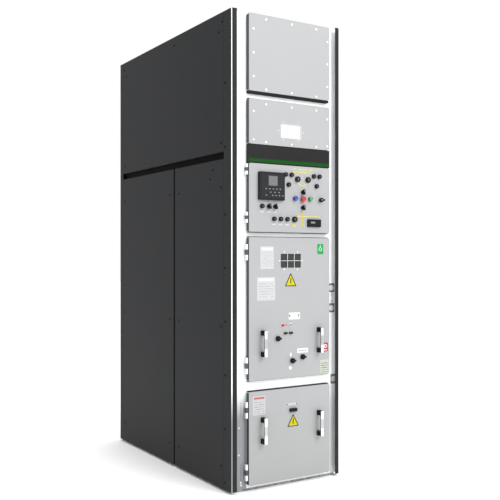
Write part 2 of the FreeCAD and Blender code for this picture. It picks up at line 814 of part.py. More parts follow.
def make_relay_compartment_box():
    """Steel box behind the relay door and the window panel, open at the front."""
    reach = inner_x - relay_box_side_gap
    bottom = breaker_door_top + upper_bar_height / 2
    top = window_panel_top + sheet
    rear = frame_y + sheet + relay_box_depth
    shell = block(-reach, reach, frame_y + sheet, rear, bottom, top)
    return shell.cut(block(-reach + sheet, reach - sheet, frame_y, rear - sheet,
                           bottom + sheet, top - sheet))


# ---- breaker door and cable door --------------------------------------------------------------------------------------------
door_knobs = {
    "interlock_knob": (door_left + 166, breaker_door_bottom + 197),
    "door_lock_knob": (door_left + 253, breaker_door_bottom + 83),
    "racking_shield_knob": (door_left + 315, breaker_door_bottom + 98),
}
door_buttons = {
    "trip_button": (door_left + 193, breaker_door_bottom + 261),
    "close_button": (door_left + 240, breaker_door_bottom + 261),
}
latch_x = door_left + 256
latch_z = cable_door_bottom + 340


def grille_cells():
    """Lower left corner of each pane opening of the breaker door's window."""
    return [(door_left + grille_from_left + column * (grille_pane_width + grille_bar),
             breaker_door_bottom + grille_from_bottom + row * (grille_pane_height + grille_bar + 3))
            for column in range(grille_columns) for row in range(grille_rows)]


def make_breaker_door():
    """Door of the breaker compartment with a barred window and holes for its operators."""
    door = hinged_door(breaker_door_bottom, breaker_door_top, hinges["breaker"])
    for x, z in grille_cells():
        door = door.cut(block(x, x + grille_pane_width, door_face - 1, door_face + sheet + 1,
                              z, z + grille_pane_height))
    for x, z in list(door_knobs.values()) + list(door_buttons.values()):
        door = door.cut(rod_y(knob_shaft_radius + switch_stem_clearance, x, door_face - 1,
                              door_face + sheet + 1, z))
    corners = grille_cells()
    pane = block(corners[0][0] - pane_overlap,
                 corners[-1][0] + grille_pane_width + pane_overlap,
                 door_face + sheet, door_face + 2 * sheet,
                 corners[0][1] - pane_overlap, corners[-1][1] + grille_pane_height + pane_overlap)
    return group([door, pane])


def make_cable_door():
    """Door of the cable compartment with the hole for its latch spindle."""
    door = hinged_door(cable_door_bottom, cable_door_top, hinges["cable"])
    return door.cut(rod_y(knob_shaft_radius + switch_stem_clearance, latch_x, door_face - 1,
                          door_face + sheet + 1, latch_z))


def handle(x, z):
    """Pull handle: two end blocks on the door and a flat grip across them."""
    grip_back = door_face - handle_stand + handle_grip_thickness
    top = z + handle_length
    return [
        block(x, x + handle_width, grip_back, door_face, z, z + handle_end_height),
        block(x, x + handle_width, grip_back, door_face, top - handle_end_height, top),
        rounded_slab("front", x, x + handle_width, z, top, grip_back - handle_grip_thickness,
                     handle_grip_thickness, grip_corner_radius),
    ]


def handle_pair(bottom):
    """One handle near each upright edge of a door."""
    low_x = door_left + handle_from_left_edge
    high_x = door_right - handle_from_right_edge
    return group(handle(low_x, bottom) + handle(high_x, bottom))


def door_knob(x, z):
    """Round knob with a raised grip bar, on a spindle through the door."""
    disc = rod_y(knob_radius, x, door_face - knob_height / 2, door_face - touch_gap, z)
    bar = block(x - knob_radius, x + knob_radius, door_face - knob_height,
                door_face - knob_height / 2 + 1, z - knob_grip_width / 2, z + knob_grip_width / 2)
    spindle = rod_y(knob_shaft_radius, x, door_face - 2, door_face + door_device_depth, z)
    return join([disc, bar, spindle])


def door_button(x, z):
    """Push button through the breaker door, its head clear of the door by its travel."""
    head = rod_y(door_button_radius, x, door_face - door_button_stand,
                 door_face - button_travel - touch_gap, z)
    stem = rod_y(knob_shaft_radius, x, door_face - button_travel - 1,
                 door_face + door_device_depth - button_travel, z)
    return join([head, stem])


def make_cable_door_latch():
    """Flat latch grip on a spindle through the cable door."""
    grip = block(latch_x - latch_length / 2, latch_x + latch_length / 2,
                 door_face - latch_stand, door_face - touch_gap, latch_z - latch_height / 2,
                 latch_z + latch_height / 2)
    spindle_end = door_face + door_stand - seal_gap - spare_gap
    spindle = rod_y(knob_shaft_radius, latch_x, door_face - 2, spindle_end, latch_z)
    return join([grip, spindle])


# ---- breaker compartment ----------------------------------------------------------------------------------------------------------
def make_truck_floor():
    """Floor of the breaker compartment with the two tracks that the truck runs on."""
    under = truck_floor_top - sheet
    pieces = [block(-inner_x, inner_x, frame_y + sheet, spout_wall_y, under, truck_floor_top)]
    for x in (-rail_track_offset, rail_track_offset):
        pieces.append(block(x - rail_track_width / 2, x + rail_track_width / 2,
                            frame_y + sheet, spout_wall_y, truck_floor_top, track_top))
    return join(pieces)


def make_spout_wall():
    """Wall behind the breaker with six spout holes and the shutter guides in front of it."""
    wall = block(-inner_x, inner_x, spout_wall_y, spout_wall_y + sheet,
                 truck_floor_top - sheet, roof_under)
    for x in phases:
        for z in (upper_arm_z, lower_arm_z):
            wall = wall.cut(rod_y(spout_outer_radius, x, spout_wall_y - 1,
                                  spout_wall_y + sheet + 1, z))
    side = shutter_half_width + shutter_side_gap
    lip_back = shutter_front - guide_front_gap
    guide_top = upper_arm_z + spout_outer_radius + shutter_travel
    guides = []
    for sign in (-1, 1):
        outer = sorted((sign * side, sign * (side + guide_width)))
        lip = sorted((sign * (side - guide_lip), sign * (side + guide_width)))
        guides.append(block(outer[0], outer[1], lip_back - 4, spout_wall_y,
                            truck_floor_top, guide_top))
        guides.append(block(lip[0], lip[1], lip_back - 4, lip_back, truck_floor_top, guide_top))
    return join([wall] + guides)


def make_contact_spouts():
    """Six epoxy spouts: tubes with a closed rear end round the fixed contacts."""
    spouts = []
    for x in phases:
        for z in (upper_arm_z, lower_arm_z):
            y0 = spout_wall_y - spout_lip
            spout = rod_y(spout_outer_radius, x, y0, spout_back, z)
            spout = spout.cut(rod_y(spout_inner_radius, x, y0 - 1, spout_back - spout_end, z))
            spout = spout.cut(rod_y(contact_radius, x, y0, spout_back + 1, z))
            spouts.append(spout)
    return group(spouts)


def shutter(arm_z, direction):
    """Steel shutter in its open place, above (+1) or below (-1) a row of arms."""
    near = arm_z + direction * (tulip_radius + shutter_start_gap)
    far = arm_z + direction * shutter_reach
    low, high = sorted((near, far))
    return block(-shutter_half_width, shutter_half_width, shutter_front, shutter_back, low, high)


wheel_ys = (chassis_front + wheel_from_chassis_end,
            chassis_front + chassis_length - wheel_from_chassis_end)


def make_truck_chassis():
    """Open tray of the breaker truck with holes for its two axles."""
    rear = chassis_front + chassis_length
    tray = block(-chassis_half_width, chassis_half_width, chassis_front, rear,
                 chassis_bottom, chassis_top)
    tray = tray.cut(block(-chassis_half_width + chassis_plate, chassis_half_width - chassis_plate,
                          chassis_front + chassis_plate, rear - chassis_plate,
                          chassis_bottom - 1, chassis_top - chassis_plate))
    for y in wheel_ys:
        tray = tray.cut(rod_x(axle_radius + pin_clearance, -chassis_half_width - 1,
                              chassis_half_width + 1, y, axle_z))
    return tray


def wheel_axle(y):
    """One axle with a wheel at each end."""
    side = rail_track_offset - wheel_width / 2
    pieces = [rod_x(axle_radius, -side - 1, side + 1, y, axle_z)]
    for x0 in (-side - wheel_width, side):
        pieces.append(rod_x(wheel_radius, x0, x0 + wheel_width, y, axle_z))
    return join(pieces)


def make_breaker_housing():
    """Mechanism box of the breaker with a raised front plate."""
    x = housing_half_width
    box = block(-x, x, chassis_front + housing_plate_thickness, housing_back, chassis_top,
                chassis_top + housing_height)
    inset = housing_plate_inset
    plate = rounded_slab("front", -x + inset, x - inset, chassis_top + inset,
                         chassis_top + housing_height - inset, chassis_front,
                         housing_plate_thickness, housing_plate_radius)
    return join([box, plate])


def make_breaker_poles():
    """Three epoxy poles, each with two contact arms that end in a hollow tulip."""
    poles = []
    for x in phases:
        foot = block(x - pole_radius, x + pole_radius, housing_back, pole_y, chassis_top,
                     chassis_top + pole_foot_height)
        head_top = chassis_top + housing_height - pole_head_below_top
        head = block(x - pole_radius / 2, x + pole_radius / 2, housing_back, pole_y,
                     head_top - pole_foot_height, head_top)
        pole_top = upper_arm_z + pole_above_upper_arm
        pieces = [rod_z(pole_radius, x, pole_y, chassis_top, pole_top), foot, head]
        for z in (upper_arm_z, lower_arm_z):
            pieces.append(rod_y(arm_radius, x, pole_y, arm_tip - tulip_length + 1, z))
            pieces.append(rod_y(tulip_radius, x, arm_tip - tulip_length, arm_tip, z))
        pole = join(pieces)
        for z in (upper_arm_z, lower_arm_z):
            pole = pole.cut(rod_y(contact_radius + contact_clearance, x, arm_tip - tulip_depth,
                                  arm_tip + 1, z))
        poles.append(pole)
    return group(poles)


# ---- busbars, transformers and earthing --------------------------------------------------------------------------------------------------
def busbar_place(index):
    """Place of one phase's main bar behind the spout wall."""
    return (spout_wall_y + busbar_first_from_wall + index * busbar_row_step,
            busbar_first_height + index * busbar_rise)


def make_busbars():
    """Per phase: the upper fixed contact, its riser and the main bar across the cabinet."""
    bars = []
    half = busbar_thickness / 2
    for index, x in enumerate(phases):
        y, z = busbar_place(index)
        contact = rod_y(contact_radius, x, contact_tip, spout_back + half, upper_arm_z)
        link = block(x - busbar_height / 2, x + busbar_height / 2, spout_back, y + half,
                     upper_arm_z - contact_radius, upper_arm_z - contact_radius + busbar_thickness)
        riser = block(x - busbar_height / 2, x + busbar_height / 2, y - half, y + half,
                      upper_arm_z - contact_radius, z + busbar_riser_above)
        foot = block(x - busbar_height / 2, x + busbar_height / 2, spout_back,
                     spout_back + busbar_thickness, upper_arm_z - contact_radius,
                     upper_arm_z + contact_radius)
        main = block(-fold_x, fold_x, y + half, y + half + busbar_thickness,
                     z - busbar_height / 2, z + busbar_height / 2)
        bars.append(join([contact, foot, link, riser, main]))
    return group(bars)


def make_busbar_barriers():
    """Insulating boards at both sides that carry the ends of the main bars."""
    first_y, first_z = busbar_place(0)
    last_y, last_z = busbar_place(len(phases) - 1)
    board = block(-inner_x, -inner_x + barrier_thickness, spout_wall_y + sheet,
                  last_y + barrier_margin, first_z - busbar_height / 2 - barrier_margin,
                  last_z + busbar_height / 2 + barrier_margin)
    gap = barrier_slot_clearance
    for index in range(len(phases)):
        y, z = busbar_place(index)
        bar_y = y + busbar_thickness / 2
        board = board.cut(block(-inner_x - 1, -inner_x + barrier_thickness + 1, bar_y - gap,
                                bar_y + busbar_thickness + gap, z - busbar_height / 2,
                                z + busbar_height / 2 + gap))
    return group([board, mirrored_x(board)])


def cable_bar(x):
    """Lower fixed contact and the bar that leads down through the transformer to the cable."""
    half = cable_bar_thickness / 2
    contact = rod_y(contact_radius, x, contact_tip, cable_bar_y, lower_arm_z)
    bar = block(x - cable_bar_width / 2, x + cable_bar_width / 2, cable_bar_y - half,
                cable_bar_y + half, cable_bar_end_height, lower_arm_z + contact_radius)
    lug_z = earthing_z - earthing_blade_length() * math.cos(math.radians(earthing_closed_angle))
    lug = block(x - cable_bar_width / 2, x + cable_bar_width / 2, cable_bar_y,
                cable_bar_y + half + earthing_lug, lug_z - earthing_lug_height / 2,
                lug_z + earthing_lug_height / 2)
    piece = join([contact, bar, lug])
    first_hole = cable_bar_end_height + cable_lug_hole_from_end
    for z in (first_hole, first_hole + cable_lug_hole_step):
        piece = piece.cut(rod_y(cable_lug_hole_radius, x, cable_bar_y - half - 1,
                                cable_bar_y + half + 1, z))
    return piece


def earthing_blade_length():
    """Blade length that leaves the named gap to the lug when the switch is closed."""
    reach = earthing_shaft_behind_bar - earthing_lug - earthing_contact_gap
    half = earthing_blade_thickness / 2
    angle = math.radians(earthing_closed_angle)
    return (reach - half * math.cos(angle)) / math.sin(angle)


def make_current_transformers():
    """Three block transformers, each cast round its phase's bar."""
    blocks = []
    for x in phases:
        half = transformer_width / 2
        body = block(x - half, x + half, transformer_front, transformer_front + transformer_depth,
                     transformer_bottom, transformer_bottom + transformer_height)
        terminal_z = transformer_bottom + terminal_box_above_bottom
        terminals = block(x - half / 2, x + half / 2, transformer_front + transformer_depth,
                          transformer_front + transformer_depth + terminal_box_depth,
                          terminal_z, terminal_z + terminal_box_height)
        blocks.append(join([body, terminals]).cut(cable_bar(x)))
    return group(blocks)


def make_inner_partitions():
    """Folded wall round the busbar compartment, and the shelf with the earthing bearings."""
    top = roof_under
    start = spout_wall_y + sheet
    lying = block(-inner_x, inner_x, start, partition_y, partition_height,
                  partition_height + sheet)
    standing = block(-inner_x, inner_x, partition_y - sheet, partition_y, partition_height, top)
    shelf = block(-inner_x, inner_x, transformer_front, transformer_front + shelf_depth,
                  shelf_under, shelf_top)
    for x in phases:
        half = cable_bar_width / 2 + shelf_slot_margin
        half_y = cable_bar_thickness / 2 + shelf_slot_margin
        shelf = shelf.cut(block(x - half, x + half, cable_bar_y - half_y, cable_bar_y + half_y,
                                shelf_under - 1, shelf_top + 1))
    plates = []
    for x in (-earthing_plate_offset, earthing_plate_offset - earthing_plate_thickness):
        plates.append(block(x, x + earthing_plate_thickness, earthing_y - earthing_plate_half,
                            earthing_y + earthing_plate_half, earthing_z - earthing_plate_half,
                            shelf_under))
    shelf = join([shelf] + plates)
    shelf = shelf.cut(rod_x(earthing_shaft_radius + pin_clearance, -earthing_plate_offset - 1,
                            earthing_plate_offset + 1, earthing_y, earthing_z))
    return group([join([lying, standing]), shelf])


def make_earthing_blades():
    """Earthing shaft with one hanging blade for each phase."""
    reach = earthing_plate_offset + earthing_shaft_overhang
    pieces = [rod_x(earthing_shaft_radius, -reach, reach, earthing_y, earthing_z)]
    for x in phases:
        pieces.append(block(x - earthing_blade_width / 2, x + earthing_blade_width / 2,
                            earthing_y - earthing_blade_thickness / 2,
                            earthing_y + earthing_blade_thickness / 2,
                            earthing_z - earthing_blade_length(), earthing_z))
        pieces.append(rod_x(earthing_shaft_radius + earthing_hub_wall, x - earthing_blade_width / 2,
                            x + earthing_blade_width / 2, earthing_y, earthing_z))
    return join(pieces)


# ---- all nodes ---------------------------------------------------------------------------------------------------------------------------------
groove_low = groove_y - groove_width / 2
groove_high = groove_y + groove_width / 2
nodes = {
    "base_frame": make_base_frame(),
    "gland_plate": make_gland_plate(),
    "corner_posts": make_corner_posts(),
    "side_rails": make_side_rails(),
    "front_frame": make_front_frame(),
    "roof_plate": make_roof_plate(),
    "top_front_panel": front_pan(top_panel_bottom, top_panel_top, door_corner_radius),
    "window_panel": make_window_panel(),
    "header_fascia": front_pan(fascia_bottom, fascia_top, 0),
    "rear_lower_cover": rear_cover(floor_gap, slot_bottom),
    "rear_upper_cover": rear_cover(slot_bottom + cover_seam, cabinet_height - sheet),
    "relay_compartment_box": make_relay_compartment_box(),
    "truck_floor": make_truck_floor(),
    "spout_wall": make_spout_wall(),
    "contact_spouts": make_contact_spouts(),
    "inner_partitions": make_inner_partitions(),
    "busbars": make_busbars(),
    "busbar_barriers": make_busbar_barriers(),
    "cable_bars": group([cable_bar(x) for x in phases]),
    "current_transformers": make_current_transformers(),
    "panel_screws": make_panel_screws(),
    "hinge_leaves": make_hinge_leaves(),
    "truck_chassis": make_truck_chassis(),
    "breaker_housing": make_breaker_housing(),
    "breaker_poles": make_breaker_poles(),
    "front_wheels": wheel_axle(wheel_ys[0]),
    "rear_wheels": wheel_axle(wheel_ys[1]),
    "upper_shutter": shutter(upper_arm_z, 1),
    "lower_shutter": shutter(lower_arm_z, -1),
    "earthing_blades": make_earthing_blades(),
    "relay_door": make_relay_door(),
    "protection_relay": make_protection_relay(),
    "lamps_and_sockets": make_lamps_and_sockets(),
    "breaker_door": make_breaker_door(),
    "breaker_door_handles": handle_pair(breaker_door_bottom + breaker_handle_above_bottom),
    "cable_door": make_cable_door(),
    "cable_door_handles": handle_pair(cable_door_bottom + cable_handle_above_bottom),
    "cable_door_latch": make_cable_door_latch(),
}
for side in ("left", "right"):
    nodes[side + "_upper_cover"] = side_cover(side, cover_front, cover_back, slot_top,
                                              cabinet_height)
    nodes[side + "_front_cover"] = side_cover(side, cover_front, groove_low, floor_gap, slot_bottom)
    nodes[side + "_rear_cover"] = side_cover(side, groove_high, cover_back, floor_gap, slot_bottom)
for place, duct in zip(("front", "middle", "rear"), flap_ducts):
    nodes["relief_flap_" + place] = relief_flap(duct)
for name, (x, z, radius) in buttons.items():
    nodes[name] = push_button(x, z, radius)
for name, (x, z, turn) in switches.items():
    nodes[name] = rotary_switch(x, z, turn)
for name, (x, z) in door_knobs.items():
    nodes[name] = door_knob(x, z)
for name, (x, z) in door_buttons.items():
    nodes[name] = door_button(x, z)

os.makedirs("parts", exist_ok=True)
for name, shape in nodes.items():
    shape.exportStep("parts/" + name + ".step")
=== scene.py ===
import math
import bpy
import numpy as np
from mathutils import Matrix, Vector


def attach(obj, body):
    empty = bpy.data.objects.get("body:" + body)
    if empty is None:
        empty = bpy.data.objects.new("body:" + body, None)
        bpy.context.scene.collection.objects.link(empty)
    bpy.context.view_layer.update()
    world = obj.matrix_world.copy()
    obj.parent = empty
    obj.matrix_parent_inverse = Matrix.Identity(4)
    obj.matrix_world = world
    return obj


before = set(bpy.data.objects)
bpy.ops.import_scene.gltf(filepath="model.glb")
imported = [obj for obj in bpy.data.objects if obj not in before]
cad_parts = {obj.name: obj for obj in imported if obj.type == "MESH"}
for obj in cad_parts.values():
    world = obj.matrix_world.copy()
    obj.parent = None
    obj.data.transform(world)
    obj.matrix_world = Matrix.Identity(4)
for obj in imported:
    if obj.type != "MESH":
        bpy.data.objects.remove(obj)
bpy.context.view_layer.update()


# ---- Studio
# A pale floor with no edge in sight, an even pale surround, and one broad soft light high in
# front of the doors. The long dark side is lit by the surround alone.
view = bpy.data.cameras.new("camera")
view.sensor_width = 36.0
view.lens = 56.4
view.shift_y = 0.014
view.clip_end = 80.0
camera = bpy.data.objects.new("camera", view)
camera.location = (-2.219, -3.833, 1.124)
camera.rotation_euler = (math.pi / 2, 0.0, math.radians(-32.26))
bpy.context.collection.objects.link(camera)
bpy.context.scene.camera = camera
bpy.context.scene.view_settings.view_transform = "Standard"

surround = bpy.data.worlds.new("surround")
surround.use_nodes = True
surround.node_tree.nodes["Background"].inputs["Color"].default_value = (1.0, 1.0, 1.0, 1.0)
surround.node_tree.nodes["Background"].inputs["Strength"].default_value = 1.0
bpy.context.scene.world = surround

for lamp_name, place, aim, width, power in (
        ("front_light", (1.4, -5.2, 4.4), (0.0, -0.65, 1.6), 3.2, 235.0),
        ("top_light", (0.4, 0.2, 6.0), (0.0, 0.0, 2.3), 3.0, 60.0)):
    light = bpy.data.lights.new(lamp_name, "AREA")
    light.shape = "DISK"
    light.size = width
    light.energy = power
    lamp_object = bpy.data.objects.new(lamp_name, light)
    lamp_object.location = place
    way = Vector(aim) - Vector(place)
    lamp_object.rotation_euler = way.to_track_quat("-Z", "Y").to_euler()
    bpy.context.collection.objects.link(lamp_object)

light = bpy.data.lights.new("floor_light", "SUN")
light.energy = 1.0
light.angle = 0.5
bpy.context.collection.objects.link(bpy.data.objects.new("floor_light", light))


# ---- Base frame and gland plate
# Welded angle frame that stands on the floor, and the plate over it with three cable holes.
# Both are mild steel, hot-dip galvanised, so they show zinc crystals and dull patches.
class Shade:
    """A socket of a material. Arithmetic on it adds Math nodes, and node() adds any other."""

    def __init__(self, tree, socket):
        self.tree = tree
        self.socket = socket

    def node(self, kind, settings, sockets, result=0):
        """Adds a node: its settings first, then the value or the link of each socket."""
        made = self.tree.nodes.new(kind)
        for key, value in settings.items():
            setattr(made, key, value)
        for key, value in sockets.items():
            if isinstance(value, Shade):
                self.tree.links.new(value.socket, made.inputs[key])
            else:
                made.inputs[key].default_value = value
        return Shade(self.tree, made.outputs[result])

    def maths(self, operation, first, second=0.0):
        """A Math node of that operation."""
        return self.node("ShaderNodeMath", {"operation": operation}, {0: first, 1: second})

    def __add__(self, other):
        return self.maths("ADD", self, other)

    def __sub__(self, other):
        return self.maths("SUBTRACT", self, other)

    def __rsub__(self, other):
        return self.maths("SUBTRACT", other, self)

    def __mul__(self, other):
        return self.maths("MULTIPLY", self, other)

    def __truediv__(self, other):
        return self.maths("DIVIDE", self, other)

    def __gt__(self, other):
        return self.maths("GREATER_THAN", self, other)

    def __lt__(self, other):
        return self.maths("LESS_THAN", self, other)

    __radd__ = __add__
    __rmul__ = __mul__


def tint(red, green, blue):
    """Paint that looks like this screen colour on the front, where the light adds half again."""
    light_gain = 1.5
    part = np.array([red, green, blue]) / 255.0
    bent = np.where(part > 0.04045, ((part + 0.055) / 1.055) ** 2.4, part / 12.92)
    return (*[float(value) for value in bent / light_gain], 1.0)


def new_finish(name, **fixed):
    """Material with one shader. What is the same all over is set on the shader's own sockets."""
    made = bpy.data.materials.new(name)
    made.use_nodes = True
    shader = made.node_tree.nodes["Principled BSDF"]
    for socket, value in fixed.items():
        shader.inputs[socket.replace("_", " ")].default_value = value
    place = made.node_tree.nodes.new("ShaderNodeTexCoord").outputs["Object"]
    return made, shader, Shade(made.node_tree, place)


def feed(shader, **changing):
    """Links what changes over the surface to the shader."""
    for socket, value in changing.items():
        value.tree.links.new(value.socket, shader.inputs[socket.replace("_", " ")])


def axis(where, letter):
    """One coordinate of a place."""
    return where.node("ShaderNodeSeparateXYZ", {}, {0: where}, "XYZ".index(letter))


def grain(where, size, detail=2.0, stretch=(1.0, 1.0, 1.0)):
    """Smooth random value of 0 to 1 whose lumps are about size metres across."""
    scaled = where.node("ShaderNodeMapping", {}, {"Vector": where, "Scale": stretch})
    return where.node("ShaderNodeTexNoise", {}, {"Vector": scaled, "Scale": 1.0 / size,
                                                 "Detail": detail})


def ease(value, low, high):
    """0 below low, 1 above high, and a smooth rise between."""
    return value.node("ShaderNodeMapRange", {"interpolation_type": "SMOOTHSTEP"},
                      {"Value": value, "From Min": low, "From Max": high})


def blend(share, none, full):
    """Colour that goes from none to full as share goes from 0 to 1."""
    return share.node("ShaderNodeMix", {"data_type": "RGBA"}, {0: share, 6: none, 7: full}, 2)


def bump(height, depth):
    """Surface relief of that depth in metres."""
    return height.node("ShaderNodeBump", {}, {"Height": height, "Distance": depth})


def zinc(name, dull, bright, crystal):
    """Zinc plate: crystals of that size, each as bright and glossy as it falls, and stains."""
    finish, shader, where = new_finish(name, Metallic=0.9)
    cells = where.node("ShaderNodeTexVoronoi", {}, {"Vector": where, "Scale": 1.0 / crystal}, 1)
    facet = where.node("ShaderNodeSeparateColor", {}, {0: cells})
    stain = ease(grain(where, 0.18, 4.0), 0.45, 0.75)
    feed(shader, Base_Color=blend(stain * 0.35, blend(facet, dull, bright), dull),
         Roughness=0.34 + facet * 0.14 + stain * 0.2,
         Normal=bump(facet + grain(where, 0.002) * 0.6, 0.00006))
    return finish


def dress(names, *finishes, choose=None):
    """Finishes for CAD nodes. choose takes the middles of the faces and gives each its finish."""
    for name in names:
        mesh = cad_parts[name].data
        mesh.materials.clear()
        for finish in finishes:
            mesh.materials.append(finish)
        middles = np.empty(len(mesh.polygons) * 3)
        mesh.polygons.foreach_get("center", middles)
        picked = np.zeros(len(mesh.polygons), int)
        if choose:
            picked = choose(middles.reshape(-1, 3)).astype(int)
        mesh.polygons.foreach_set("material_index", picked)


galvanised = zinc("galvanised_steel", tint(144, 147, 150), tint(200, 203, 205), 0.014)
dress(["base_frame", "gland_plate"], galvanised)


# ---- Corner posts and covers
# Folded steel posts and flush covers that make the long sides and the back, fixed with screws.
# Sprayed dark grey powder with a fine texture, a little scuffed near the floor.
def powder(name, colour, gloss, dust, shine=0.5):
    """Baked powder: fine peel, a slow drift of tone, rubbed patches, and dust near the floor."""
    finish, shader, where = new_finish(name, Specular_IOR_Level=shine)
    peel = grain(where, 0.0016, 1.0)
    drift = grain(where, 0.5, 3.0)
    rubbed = ease(grain(where, 0.03, 6.0, (1.0, 1.0, 0.25)), 0.62, 0.8)
    settled = ease(axis(where, "Z"), 0.45, 0.0) * grain(where, 0.05, 4.0)
    low = tuple(0.95 * part for part in colour[:3]) + (1.0,)
    high = tuple(min(1.0, 1.05 * part) for part in colour[:3]) + (1.0,)
    plain = blend(drift, low, high)
    feed(shader, Base_Color=blend(settled * 0.25 + rubbed * 0.04, plain, dust),
         Roughness=gloss + drift * 0.06 + rubbed * 0.08 + settled * 0.12,
         Normal=bump(peel, 0.00005))
    return finish


dark_coat = powder("dark_grey_powder", tint(44, 45, 47), 0.5, tint(84, 82, 80), shine=0.1)
covers = ["left_front_cover", "left_rear_cover", "left_upper_cover", "right_front_cover",
          "right_rear_cover", "right_upper_cover", "rear_lower_cover", "rear_upper_cover"]
dress(covers, dark_coat)
# Near black: painted shade in the side rails' grooves, and the blackened screws of the sides.
black_and_recess_shade = powder("dark_recess", tint(10, 10, 11), 0.7, tint(50, 48, 46), shine=0.05)
dress(["side_rails"], black_and_recess_shade)


# ---- Front frame
# Uprights and rails of zinc-aluminium coated sheet, welded into one flat frame behind the doors.
# It is nearly white and clean above. Beside the lowest door the uprights are painted grey, as
# painted shade and reflection, and the right one lighter against the shade by its post.
frame_sheet, shader, where = new_finish("front_frame_sheet")
upright = (axis(where, "X") < -0.2255) + (axis(where, "X") > 0.2605)
# Share of the plain near-white; where it falls the uprights take painted shade and reflection.
unshaded_share = ease(axis(where, "Z") + grain(where, 0.12, 3.0) * 0.06, 0.36, 0.56)
unshaded_share = unshaded_share.maths("MAXIMUM", unshaded_share, 1.0 - upright)
brushed = grain(where, 0.004, 3.0, (1.0, 1.0, 0.05))
# Painted shade and reflection: dark grey on the left upright, and painted light on the right.
painted_shade_grey = blend(axis(where, "X") > 0.0, (0.245, 0.255, 0.265, 1.0), (0.66, 0.67, 0.68, 1.0))
feed(shader, Base_Color=blend(unshaded_share, painted_shade_grey, (0.93, 0.94, 0.95, 1.0)),
     Metallic=(1.0 - unshaded_share) * (axis(where, "X") < 0.0) * 0.3, Roughness=0.34 + brushed * 0.12,
     Normal=bump(brushed, 0.00003))
dress(["front_frame"], frame_sheet)
post_lip, post_wall = -0.6669, 0.3221
# The inner faces of the posts behind their lips take the frame's sheet and its painted shade.
dress(["corner_posts"], dark_coat, frame_sheet, choose=lambda middle: (middle[:, 1] < -0.6)
      & (middle[:, 1] > post_lip) & (np.abs(middle[:, 0]) < post_wall))


# ---- Roof and relief flaps
# Galvanised roof sheets with four holes for lifting eyes. Three light flaps lie on the duct
# openings, hinged on rods, and blow open if a fault releases gas.
dress(["roof_plate", "relief_flap_front", "relief_flap_middle", "relief_flap_rear"],
      zinc("roof_zinc", tint(174, 177, 180), tint(204, 207, 209), 0.012))


# ---- Fascia
# Folded strip above the relay door, sprayed black with a green band near its lower edge.
# It is screwed from behind, so its face is plain.
band_low, band_high = 1.5825, 1.5985
finish, shader, where = new_finish("fascia_black_and_green", Specular_IOR_Level=0.12)
height = axis(where, "Z")
face = axis(where, "Y") < -0.66
band = (height > band_low) * (height < band_high) * face
drift = grain(where, 0.25, 3.0)
feed(shader, Base_Color=blend(band, blend(drift, tint(33, 33, 34), tint(40, 40, 41)),
                              tint(0, 82, 12)),
     Roughness=0.36 + drift * 0.08, Normal=bump(grain(where, 0.0016, 1.0), 0.00004))
dress(["header_fascia"], finish)


# ---- Top panel and window panel
# Folded front panels sprayed light grey. The lower one has a window of white translucent sheet
# held behind its cut-out, with a thin glazing bead round it.
light_coat = powder("light_grey_powder", tint(186, 187, 188), 0.42, tint(176, 173, 166),
                    shine=0.2)
# Painted shade: the outer faces of the returns of the panels and doors take a darker grey.
return_shade_coat = powder("painted_return_shade", tint(100, 102, 107), 0.6, tint(110, 108, 104), shine=0.1)
window_sheet, shader, where = new_finish("window_sheet", Roughness=0.22, Coat_Weight=0.4)
haze = grain(where, 0.03, 3.0)
feed(shader, Base_Color=blend(haze, tint(232, 234, 236), tint(246, 247, 248)))


def on_return(low, high):
    """Picks the outside of the folded edges of a front panel, behind the bend at its face."""
    left, right, bend, slack = -0.225, 0.26, -0.6629, 0.001

    def choose(middle):
        x, y, z = middle.T
        beside = (x < left + slack) | (x > right - slack)
        return (beside | (z < low + slack) | (z > high - slack)) & (y > bend)
    return choose


def with_sheet(edges, across, up, half_width, half_height):
    """Adds to the picked edges the third finish, on the sheet behind an opening."""
    front, back = -0.6632, -0.6605

    def choose(middle):
        x, y, z = middle.T
        sheet = (np.abs(x - across) < half_width) & (np.abs(z - up) < half_height)
        return np.where(sheet & (y > front) & (y < back), 2, edges(middle))
    return choose


dress(["top_front_panel"], light_coat, return_shade_coat, choose=on_return(1.922, 2.295))
dress(["window_panel"], light_coat, return_shade_coat, window_sheet,
      choose=with_sheet(on_return(1.668, 1.885), 0.021, 1.743, 0.067, 0.0385))


def round_rectangle(width, height, corner, steps=5):
    """Outline about its middle: a quarter circle about each of the four corner centres."""
    angle = np.linspace(0.0, np.pi / 2, steps) + np.arange(4)[:, None] * np.pi / 2
    side = np.array([1.0, -1.0, -1.0, 1.0])[:, None] * (width / 2 - corner)
    rise = np.array([1.0, 1.0, -1.0, -1.0])[:, None] * (height / 2 - corner)
    outline = np.stack([side + corner * np.cos(angle), rise + corner * np.sin(angle)], 2)
    return outline.reshape(-1, 2)


def skin(rows):
    """Closed surface over rows of points round a piece, with a pole in its first and last row."""
    count, around = rows.shape[:2]
    here = np.arange(count * around).reshape(count, around)
    beside = np.roll(here, -1, axis=1)
    quads = np.stack([here[:-1], beside[:-1], beside[1:], here[1:]], 2).reshape(-1, 4)
    first = np.stack([beside[0], here[0], np.full(around, count * around)], 1)
    last = np.stack([here[-1], beside[-1], np.full(around, count * around + 1)], 1)
    points = np.concatenate([rows.reshape(-1, 3), rows[:1].mean(1), rows[-1:].mean(1)])
    return points, quads, np.concatenate([first, last])


def band_skin(rows):
    """Closed surface whose last row joins its first, such as a frame or a ring."""
    count, around = rows.shape[:2]
    here = np.arange(count * around).reshape(count, around)
    beside = np.roll(here, -1, axis=1)
    quads = np.stack([here, beside, np.roll(beside, -1, axis=0), np.roll(here, -1, axis=0)], 2)
    return rows.reshape(-1, 3), quads.reshape(-1, 4), np.zeros((0, 3), int)


